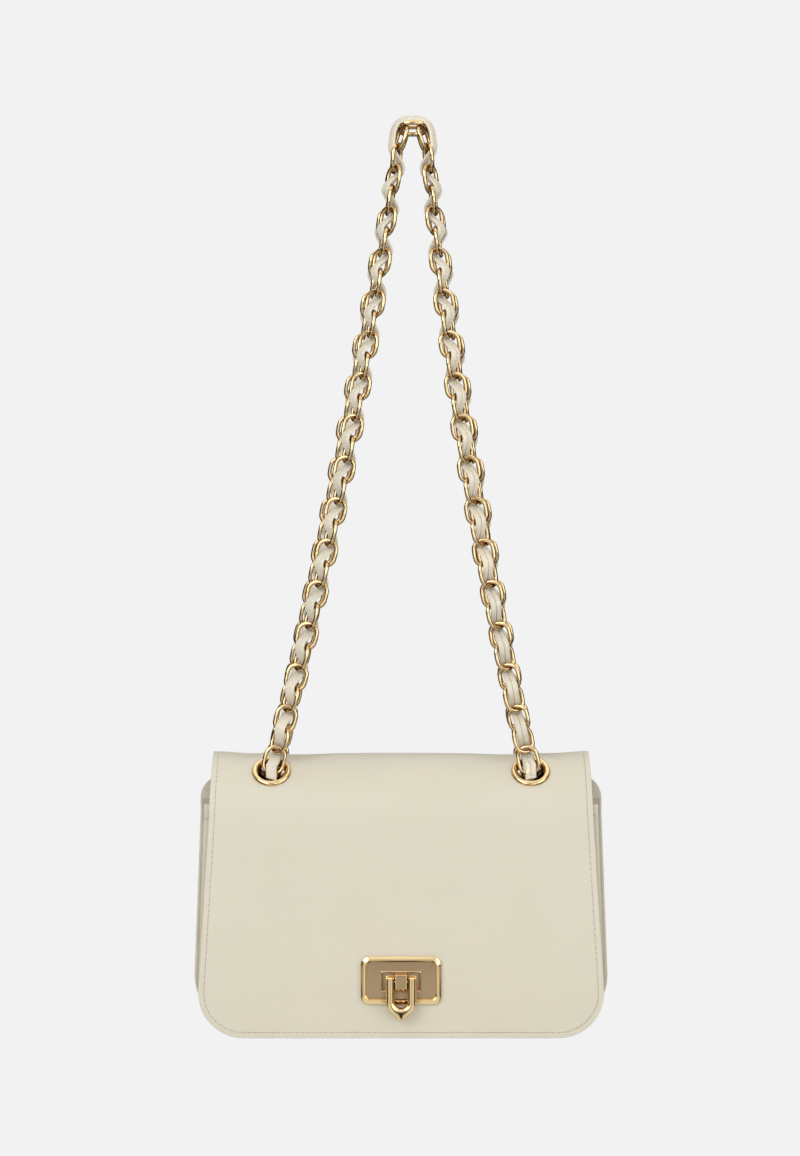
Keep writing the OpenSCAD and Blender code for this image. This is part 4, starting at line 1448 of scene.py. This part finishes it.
def link_pattern(name, pitch, play):
    """One oval link standing along Z with its width along X"""
    s = sizes()
    ring = (s.link_width - s.wire) / 2
    bpy.ops.mesh.primitive_torus_add(major_segments=24, minor_segments=10, major_radius=ring,
                                     minor_radius=(s.wire + s.wire_full) / 2, rotation=(pi / 2, 0, 0))
    link = bpy.context.view_layer.objects.active
    link.name = name
    bake_place(link)
    straight = (pitch + s.wire + play) / 2 - ring
    for vert in link.data.vertices:
        if abs(vert.co.z) > 0.2 * MM:
            vert.co.z += straight if vert.co.z > 0 else -straight
    link.data.materials.append(material("bag_chain"))
    return link


def strand_place(strand, i):
    """Transform of one link of a strand"""
    s = sizes()
    a, b = strand.at(i), strand.at(i + 1)
    twist = (-1 if i % 2 == 0 else 1) * strand.side * (LOW_TWIST if i == 0 else s.link_twist)
    return (Matrix.Translation((a + b) / 2) @ Matrix.Rotation(atan2(b.x - a.x, b.z - a.z), 4, "Y")
            @ Matrix.Rotation(strand.side * strand.facing(i + 0.5, LINK_LAST) + twist, 4, "Z"))


def top_places(shift):
    """Transforms of a strap's top link and its two neighbours"""
    s = sizes()
    f = strap_facts()
    places = []
    for side in (-1, 1):
        places.append(Matrix.Translation((shift + side * f["neighbour_x"], 0,
                                          f["top_height"] - f["neighbour_drop"]))
                      @ Matrix.Rotation(side * (s.top_bend - pi / 2), 4, "Y")
                      @ Matrix.Rotation(side * (pi / 2 - s.link_twist), 4, "Z"))
    places.append(Matrix.Translation((shift, 0, f["top_height"])) @ Matrix.Rotation(pi / 2, 4, "Y")
                  @ Matrix.Rotation(-pi / 2 - s.link_twist, 4, "Z"))
    return places


def strap_place(end):
    """Transform of a strap's own plane: 1 is the front strap, -1 the rear one"""
    f = strap_facts()
    turn = Matrix.Rotation(-end * f["lean"], 4, "X")
    if end < 0:
        turn = turn @ Matrix.Rotation(pi, 4, "Z")
    return Matrix.Translation((0, -end * f["pivot_y"], f["pivot_z"])) @ turn


def make_strap_chain(name, body, node, end, bow, shift):
    """All links of one strap"""
    s = sizes()
    f = strap_facts()
    place = strap_place(end)
    strands = [Strand(side, bow, shift) for side in (-1, 1)]
    low = repeat(link_pattern("low_link", f["pitch"], s.link_play + s.swing_play), "low_links",
                 [place @ strand_place(strand, 0) for strand in strands])
    rest = [place @ strand_place(strand, i) for strand in strands for i in range(1, s.side_links)]
    rest += [place @ top for top in top_places(shift)]
    chain = repeat(link_pattern("link", f["pitch"], s.link_play), "links", rest)
    chain = join([chain, low], name)
    smooth(chain, 60)
    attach(chain, body)
    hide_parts(node)


def strip_section(middle, across, along, seam):
    """Padded section of the strip; where seam is 1 a butted seam runs down its outer face"""
    s = sizes()
    half = s.strip_width / 2
    thick = s.strip_thickness / 2 + STRIP_PADDING
    side = across.normalized()
    up = along.normalized().cross(side).normalized()
    return [middle + side * (a * half) + up * ((n + (SEAM_DEPTH * seam if k == SEAM_POINT else 0)) * thick)
            for k, (a, n) in enumerate(STRIP_SECTION)]


def ribbon(name, middles, acrosses, seams):
    """Strip along a row of middles"""
    last = len(middles) - 1
    rings = [strip_section(middles[j], acrosses[j], middles[min(last, j + 1)] - middles[max(0, j - 1)],
                           seams[j]) for j in range(last + 1)]
    strip = tube(name, rings, ["bag_strip"])
    smooth(strip, 50)
    return strip


def make_strap_strip(name, body, node, end, bow, shift):
    """Leather strip woven up one side of a strap, over its top links and down the other"""
    s = sizes()
    f = strap_facts()
    left, right = (Strand(side, bow, shift) for side in (-1, 1))
    samples = s.side_links * 9
    spots = [STRIP_START + (s.side_links - STRIP_START) * j / samples for j in range(samples + 1)]
    arch = []
    for j in range(ARCH_STEPS):
        angle = pi - pi * (j + 1) / (ARCH_STEPS + 1)
        reach = cos(angle)
        out = ARCH_HALF * (1 if reach > 0 else -1) * pow(abs(reach), 0.8)
        up = (ARCH_RISE + ARCH_FOOT) * pow(sin(angle), 0.8)
        arch.append(Vector((shift + out, 0, f["top_height"] - ARCH_FOOT + up)))
    middles = [left.strip_middle(u) for u in spots] + arch + [right.strip_middle(u) for u in reversed(spots)]
    bends = []
    for j in range(ARCH_STEPS):
        along = (arch[min(ARCH_STEPS - 1, j + 1)] - arch[max(0, j - 1)]).normalized()
        bends.append(along.cross(Vector((-along.z, 0, along.x)) * cos(pi / 6) + Vector((0, -0.5, 0))))
    acrosses = [left.strip_across(u) for u in spots] + bends + [right.strip_across(u) for u in reversed(spots)]
    seams = [0.0] * (len(spots) + len(arch)) + [1.0] * len(spots)
    for strand, row in ((left, 0), (right, len(middles))):
        for out, level in STRIP_FEET:
            middles.insert(row, strand.at(0) + Vector((0, -out, level)))
            acrosses.insert(row, strand.strip_across(STRIP_START))
            seams.insert(row, seams[row - 1 if row else 0])
            row += 1 if row else 0
    place = strap_place(end)
    turn = place.to_3x3()
    strip = ribbon(name, [place @ m for m in middles], [turn @ a for a in acrosses], seams)
    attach(strip, body)
    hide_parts(node)


def make_inner_chains():
    """Chains and strips that run under the crown from a front eyelet to the back one"""
    s = sizes()
    f = strap_facts()
    radius = f["pivot_y"] / sin(s.eyelet_tilt)
    top = f["pivot_z"] + radius * cos(s.eyelet_tilt)
    count = s.inner_links

    def angle(u):
        return -s.eyelet_tilt + 2 * s.eyelet_tilt * u / count

    def spot(u):
        return Vector((0, radius * sin(angle(u)), top - radius * cos(angle(u))))
    plain = []
    ends = []
    for side in (-1, 1):
        for k in range(count):
            a, b = spot(k), spot(k + 1)
            end = 1 if k == 0 else -1 if k == count - 1 else 0
            middle = (a + b) / 2 - (b - a).normalized() * end * s.swing_play / 2
            twist = (-1 if k % 2 == 0 else 1) * side * (INNER_TWIST if end else s.link_twist)
            place = (Matrix.Translation(middle + Vector((side * s.eyelet_x, 0, 0)))
                     @ Matrix.Rotation(atan2(a.y - b.y, b.z - a.z), 4, "X") @ Matrix.Rotation(twist, 4, "Z"))
            (ends if end else plain).append(place)
    links = repeat(link_pattern("inner_link", f["pitch"], s.link_play), "inner_plain", plain)
    last = repeat(link_pattern("inner_end", f["pitch"], s.link_play + s.swing_play), "inner_ends", ends)
    chains = join([links, last], "inner_chain_links")
    smooth(chains, 60)
    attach(chains, "crown")
    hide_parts("inner_chains")

    strips = []
    for side in (-1, 1):
        spots = [INNER_START + (count - 2 * INNER_START) * j / 30 for j in range(31)]
        middles = [spot(u) + Vector((side * s.eyelet_x, 0, 0))
                   + s.strip_wave * cos(pi * u) * Vector((0, sin(angle(u)), -cos(angle(u)))) for u in spots]
        strips.append(ribbon("inner_strip", middles, [Vector((1, 0, 0))] * 31, [0.0] * 31))
    strips = join(strips, "inner_strip_leather")
    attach(strips, "crown")
    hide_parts("inner_strips")


# CAD nodes that stay, and the stage

CARRIED = {
    "base_board": "bag_board",
    "magnet_keeper": "bag_steel",
    "keeper_washer": "bag_steel",
    "eyelet_washers": "bag_steel",
    "lock_backplate": "bag_steel",
    "lock_rivets": "bag_steel",
    "flap_magnet": "bag_steel",
    "latch_pin": "bag_gold",
}


def dress_carried():
    """Materials for the CAD nodes that stay visible"""
    for node, finish in CARRIED.items():
        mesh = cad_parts[node].data
        mesh.materials.clear()
        mesh.materials.append(material(finish))


def add_light(name, place, aim, width, height, power):
    """Soft rectangular light turned to a point"""
    bpy.ops.object.light_add(type="AREA", location=place)
    light = bpy.context.view_layer.objects.active
    light.name = name
    light.data.shape = "RECTANGLE"
    light.data.size = width
    light.data.size_y = height
    light.data.energy = power
    light.rotation_euler = (Vector(aim) - Vector(place)).to_track_quat("-Z", "Y").to_euler()


def pick_by_ray(tree, path, ray, others, chosen):
    """Shader that gives chosen to one kind of ray and others to the rest"""
    pick = add_node(tree, "ShaderNodeMixShader")
    tree.links.new(path.outputs[ray], pick.inputs["Fac"])
    tree.links.new(others, pick.inputs[1])
    tree.links.new(chosen, pick.inputs[2])
    return pick.outputs["Shader"]


def backdrop_world():
    """Pale world for the camera; the metal mirrors a dark room, a bright card, the sky and two side cards"""
    c = colours()
    world = bpy.data.worlds.new("studio")
    bpy.context.scene.world = world
    world.use_nodes = True
    tree = world.node_tree
    tree.nodes.clear()
    place = add_node(tree, "ShaderNodeTexCoord")
    split = add_node(tree, "ShaderNodeSeparateXYZ")
    tree.links.new(place.outputs["Generated"], split.inputs["Vector"])
    ramp = add_node(tree, "ShaderNodeValToRGB")
    ramp.color_ramp.interpolation = "EASE"
    stops = ramp.color_ramp.elements
    stops[0].position = DARK_STOP
    stops[0].color = (*c.dark_side, 1)
    stops[1].position = CARD_STOP
    stops[1].color = (*c.card, 1)
    stops.new(SKY_STOP).color = (*SKY_COLOUR, 1)
    tree.links.new(remap(tree, split.outputs["Z"], -1.0, 1.0), ramp.inputs["Fac"])
    mirrored = add_node(tree, "ShaderNodeBackground")
    tree.links.new(side_glow(tree, ramp.outputs["Color"], "Generated"), mirrored.inputs["Color"])
    seen = add_node(tree, "ShaderNodeBackground", Color=(*c.backdrop, 1.0))
    soft = add_node(tree, "ShaderNodeBackground", Color=(*c.backdrop, 1.0), Strength=SOFT_LIGHT)
    path = add_node(tree, "ShaderNodeLightPath")
    shown = pick_by_ray(tree, path, "Is Glossy Ray", soft.outputs["Background"], mirrored.outputs["Background"])
    shown = pick_by_ray(tree, path, "Is Camera Ray", shown, seen.outputs["Background"])
    tree.links.new(shown, add_node(tree, "ShaderNodeOutputWorld").inputs["Surface"])


def floor_material():
    """Floor in the backdrop's tone for the camera; the metal mirrors it dark, with a grey band in front"""
    c = colours()
    made = bpy.data.materials.new("stage_floor")
    made.use_nodes = True
    tree = made.node_tree
    shader = tree.nodes["Principled BSDF"]
    set_inputs(shader, Base_Color=(*c.backdrop, 1.0), Roughness=0.9, Specular_IOR_Level=0.1)
    split = add_node(tree, "ShaderNodeSeparateXYZ")
    tree.links.new(add_node(tree, "ShaderNodeTexCoord").outputs["Object"], split.inputs["Vector"])
    depth = split.outputs["Y"]
    near = calculate(tree, "MULTIPLY", remap(tree, depth, *GREY_STARTS),
                     remap(tree, depth, *GREY_ENDS, 1.0, 0.0))
    mirrored = add_node(tree, "ShaderNodeEmission")
    tree.links.new(side_glow(tree, blend_colour(tree, near, c.dark_side, c.low_side), "Object"),
                   mirrored.inputs["Color"])
    seen = add_node(tree, "ShaderNodeEmission", Color=(*c.backdrop, 1.0))
    path = add_node(tree, "ShaderNodeLightPath")
    shown = pick_by_ray(tree, path, "Is Glossy Ray", shader.outputs["BSDF"], mirrored.outputs["Emission"])
    shown = pick_by_ray(tree, path, "Is Camera Ray", shown, seen.outputs["Emission"])
    tree.links.new(shown, tree.nodes["Material Output"].inputs["Surface"])
    return made


def make_stage():
    """Floor, lights, world and camera at the photo's place"""
    clear_start()
    bpy.ops.mesh.primitive_plane_add(size=12, location=(0, 0, 0))
    floor_piece = bpy.context.view_layer.objects.active
    floor_piece.name = "stage_floor"
    floor_piece.data.materials.append(floor_material())
    backdrop_world()
    for values in LIGHTS:
        add_light(*values)
    bpy.ops.object.camera_add(location=(CAMERA_X, FLAP_LOW[1] - CAMERA_DISTANCE, CAMERA_HEIGHT),
                              rotation=(pi / 2, 0, 0))
    camera = bpy.context.view_layer.objects.active
    camera.name = "photo_camera"
    camera.data.sensor_fit = "VERTICAL"
    camera.data.sensor_height = FILM
    camera.data.lens = FILM * CAMERA_DISTANCE / (FILM_HEIGHT * PIXEL)
    camera.data.clip_start = 0.1
    camera.data.dof.use_dof = False
    bpy.context.scene.camera = camera
    bpy.context.scene.view_settings.view_transform = "Standard"


def clear_start():
    """Removes the cube, lamp and camera of Blender's start scene"""
    for name in ("Cube", "Light", "Camera"):
        left = bpy.data.objects.get(name)
        if left:
            bpy.data.objects.remove(left)


# Operators

class BAG_OT_cover(bpy.types.Operator):
    """Back leather, crown and flap with their stitching"""
    bl_idname = "bag.cover"
    bl_label = "Cover leather"

    def execute(self, context):
        make_cover()
        return {"FINISHED"}


class BAG_OT_cover_linings(bpy.types.Operator):
    """Lining cloth of the flap and crown"""
    bl_idname = "bag.cover_linings"
    bl_label = "Flap and crown lining"

    def execute(self, context):
        make_cover_linings()
        return {"FINISHED"}


class BAG_OT_front(bpy.types.Operator):
    """Front panel leather with its bound edge and stitching"""
    bl_idname = "bag.front"
    bl_label = "Front panel"

    def execute(self, context):
        make_front()
        return {"FINISHED"}


class BAG_OT_gusset(bpy.types.Operator):
    """Gusset leather folded in at the sides"""
    bl_idname = "bag.gusset"
    bl_label = "Gusset"

    def execute(self, context):
        make_gusset()
        return {"FINISHED"}


class BAG_OT_inside(bpy.types.Operator):
    """Body lining and the slip pocket"""
    bl_idname = "bag.inside"
    bl_label = "Inside"

    def execute(self, context):
        make_tub()
        make_pocket()
        return {"FINISHED"}


class BAG_OT_eyelets(bpy.types.Operator):
    """Four rolled eyelets"""
    bl_idname = "bag.eyelets"
    bl_label = "Eyelets"

    def execute(self, context):
        make_eyelets()
        return {"FINISHED"}


class BAG_OT_lock(bpy.types.Operator):
    """Lock plate and knuckle"""
    bl_idname = "bag.lock"
    bl_label = "Lock plate"

    def execute(self, context):
        make_lock()
        return {"FINISHED"}


class BAG_OT_flip_loop(bpy.types.Operator):
    """Flip loop of the lock"""
    bl_idname = "bag.flip_loop"
    bl_label = "Flip loop"

    def execute(self, context):
        make_flip_loop()
        return {"FINISHED"}


class BAG_OT_chains(bpy.types.Operator):
    """Chain links of both straps and under the crown"""
    bl_idname = "bag.chains"
    bl_label = "Chains"

    def execute(self, context):
        s = sizes()
        make_strap_chain("front_strap_links", "front_strap", "front_chain", 1, s.front_bow, s.strap_shift)
        make_strap_chain("rear_strap_links", "rear_strap", "rear_chain", -1, s.rear_bow, -s.strap_shift)
        make_inner_chains()
        return {"FINISHED"}


class BAG_OT_strips(bpy.types.Operator):
    """Leather strips woven through both straps"""
    bl_idname = "bag.strips"
    bl_label = "Strips"

    def execute(self, context):
        s = sizes()
        make_strap_strip("front_strap_strip", "front_strap", "front_strip", 1, s.front_bow, s.strap_shift)
        make_strap_strip("rear_strap_strip", "rear_strap", "rear_strip", -1, s.rear_bow, -s.strap_shift)
        return {"FINISHED"}


class BAG_OT_carried(bpy.types.Operator):
    """Materials of the CAD nodes that stay"""
    bl_idname = "bag.carried"
    bl_label = "Carried fittings"

    def execute(self, context):
        dress_carried()
        return {"FINISHED"}


class BAG_OT_stage(bpy.types.Operator):
    """Floor, lights, background and camera"""
    bl_idname = "bag.stage"
    bl_label = "Stage"

    def execute(self, context):
        make_stage()
        return {"FINISHED"}


OPERATORS = (BAG_OT_cover, BAG_OT_cover_linings, BAG_OT_front, BAG_OT_gusset, BAG_OT_inside, BAG_OT_eyelets,
             BAG_OT_lock, BAG_OT_flip_loop, BAG_OT_chains, BAG_OT_strips, BAG_OT_carried, BAG_OT_stage)


class BAG_PT_pieces(bpy.types.Panel):
    """Lists the bag's pieces"""
    bl_idname = "BAG_PT_pieces"
    bl_label = "Chain shoulder bag"
    bl_space_type = "VIEW_3D"
    bl_region_type = "UI"
    bl_category = "Bag"

    def draw(self, context):
        column = self.layout.column()
        for operator in OPERATORS:
            column.operator(operator.bl_idname)


CLASSES = (BagSizes, BagColours) + OPERATORS + (BAG_PT_pieces,)


def register():
    """Registers the classes and hangs the sizes and colours on the scene"""
    for entry in CLASSES:
        bpy.utils.register_class(entry)
    bpy.types.Scene.bag_sizes = bpy.props.PointerProperty(type=BagSizes)
    bpy.types.Scene.bag_colours = bpy.props.PointerProperty(type=BagColours)


def unregister():
    """Takes it all off again"""
    del bpy.types.Scene.bag_colours
    del bpy.types.Scene.bag_sizes
    for entry in reversed(CLASSES):
        bpy.utils.unregister_class(entry)


def plain(corners):
    """Corners as plain lists of numbers"""
    return [list(corner) for corner in corners]


def main():
    """Builds the whole bag"""
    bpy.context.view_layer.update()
    register()
    bpy.ops.bag.stage()
    bpy.ops.bag.cover()
    bpy.ops.bag.cover_linings()
    bpy.ops.bag.front()
    bpy.ops.bag.gusset()
    bpy.ops.bag.inside()
    bpy.ops.bag.eyelets()
    bpy.ops.bag.lock()
    bpy.ops.bag.flip_loop()
    bpy.ops.bag.chains()
    bpy.ops.bag.strips()
    bpy.ops.bag.carried()


if __name__ == "__main__":
    main()
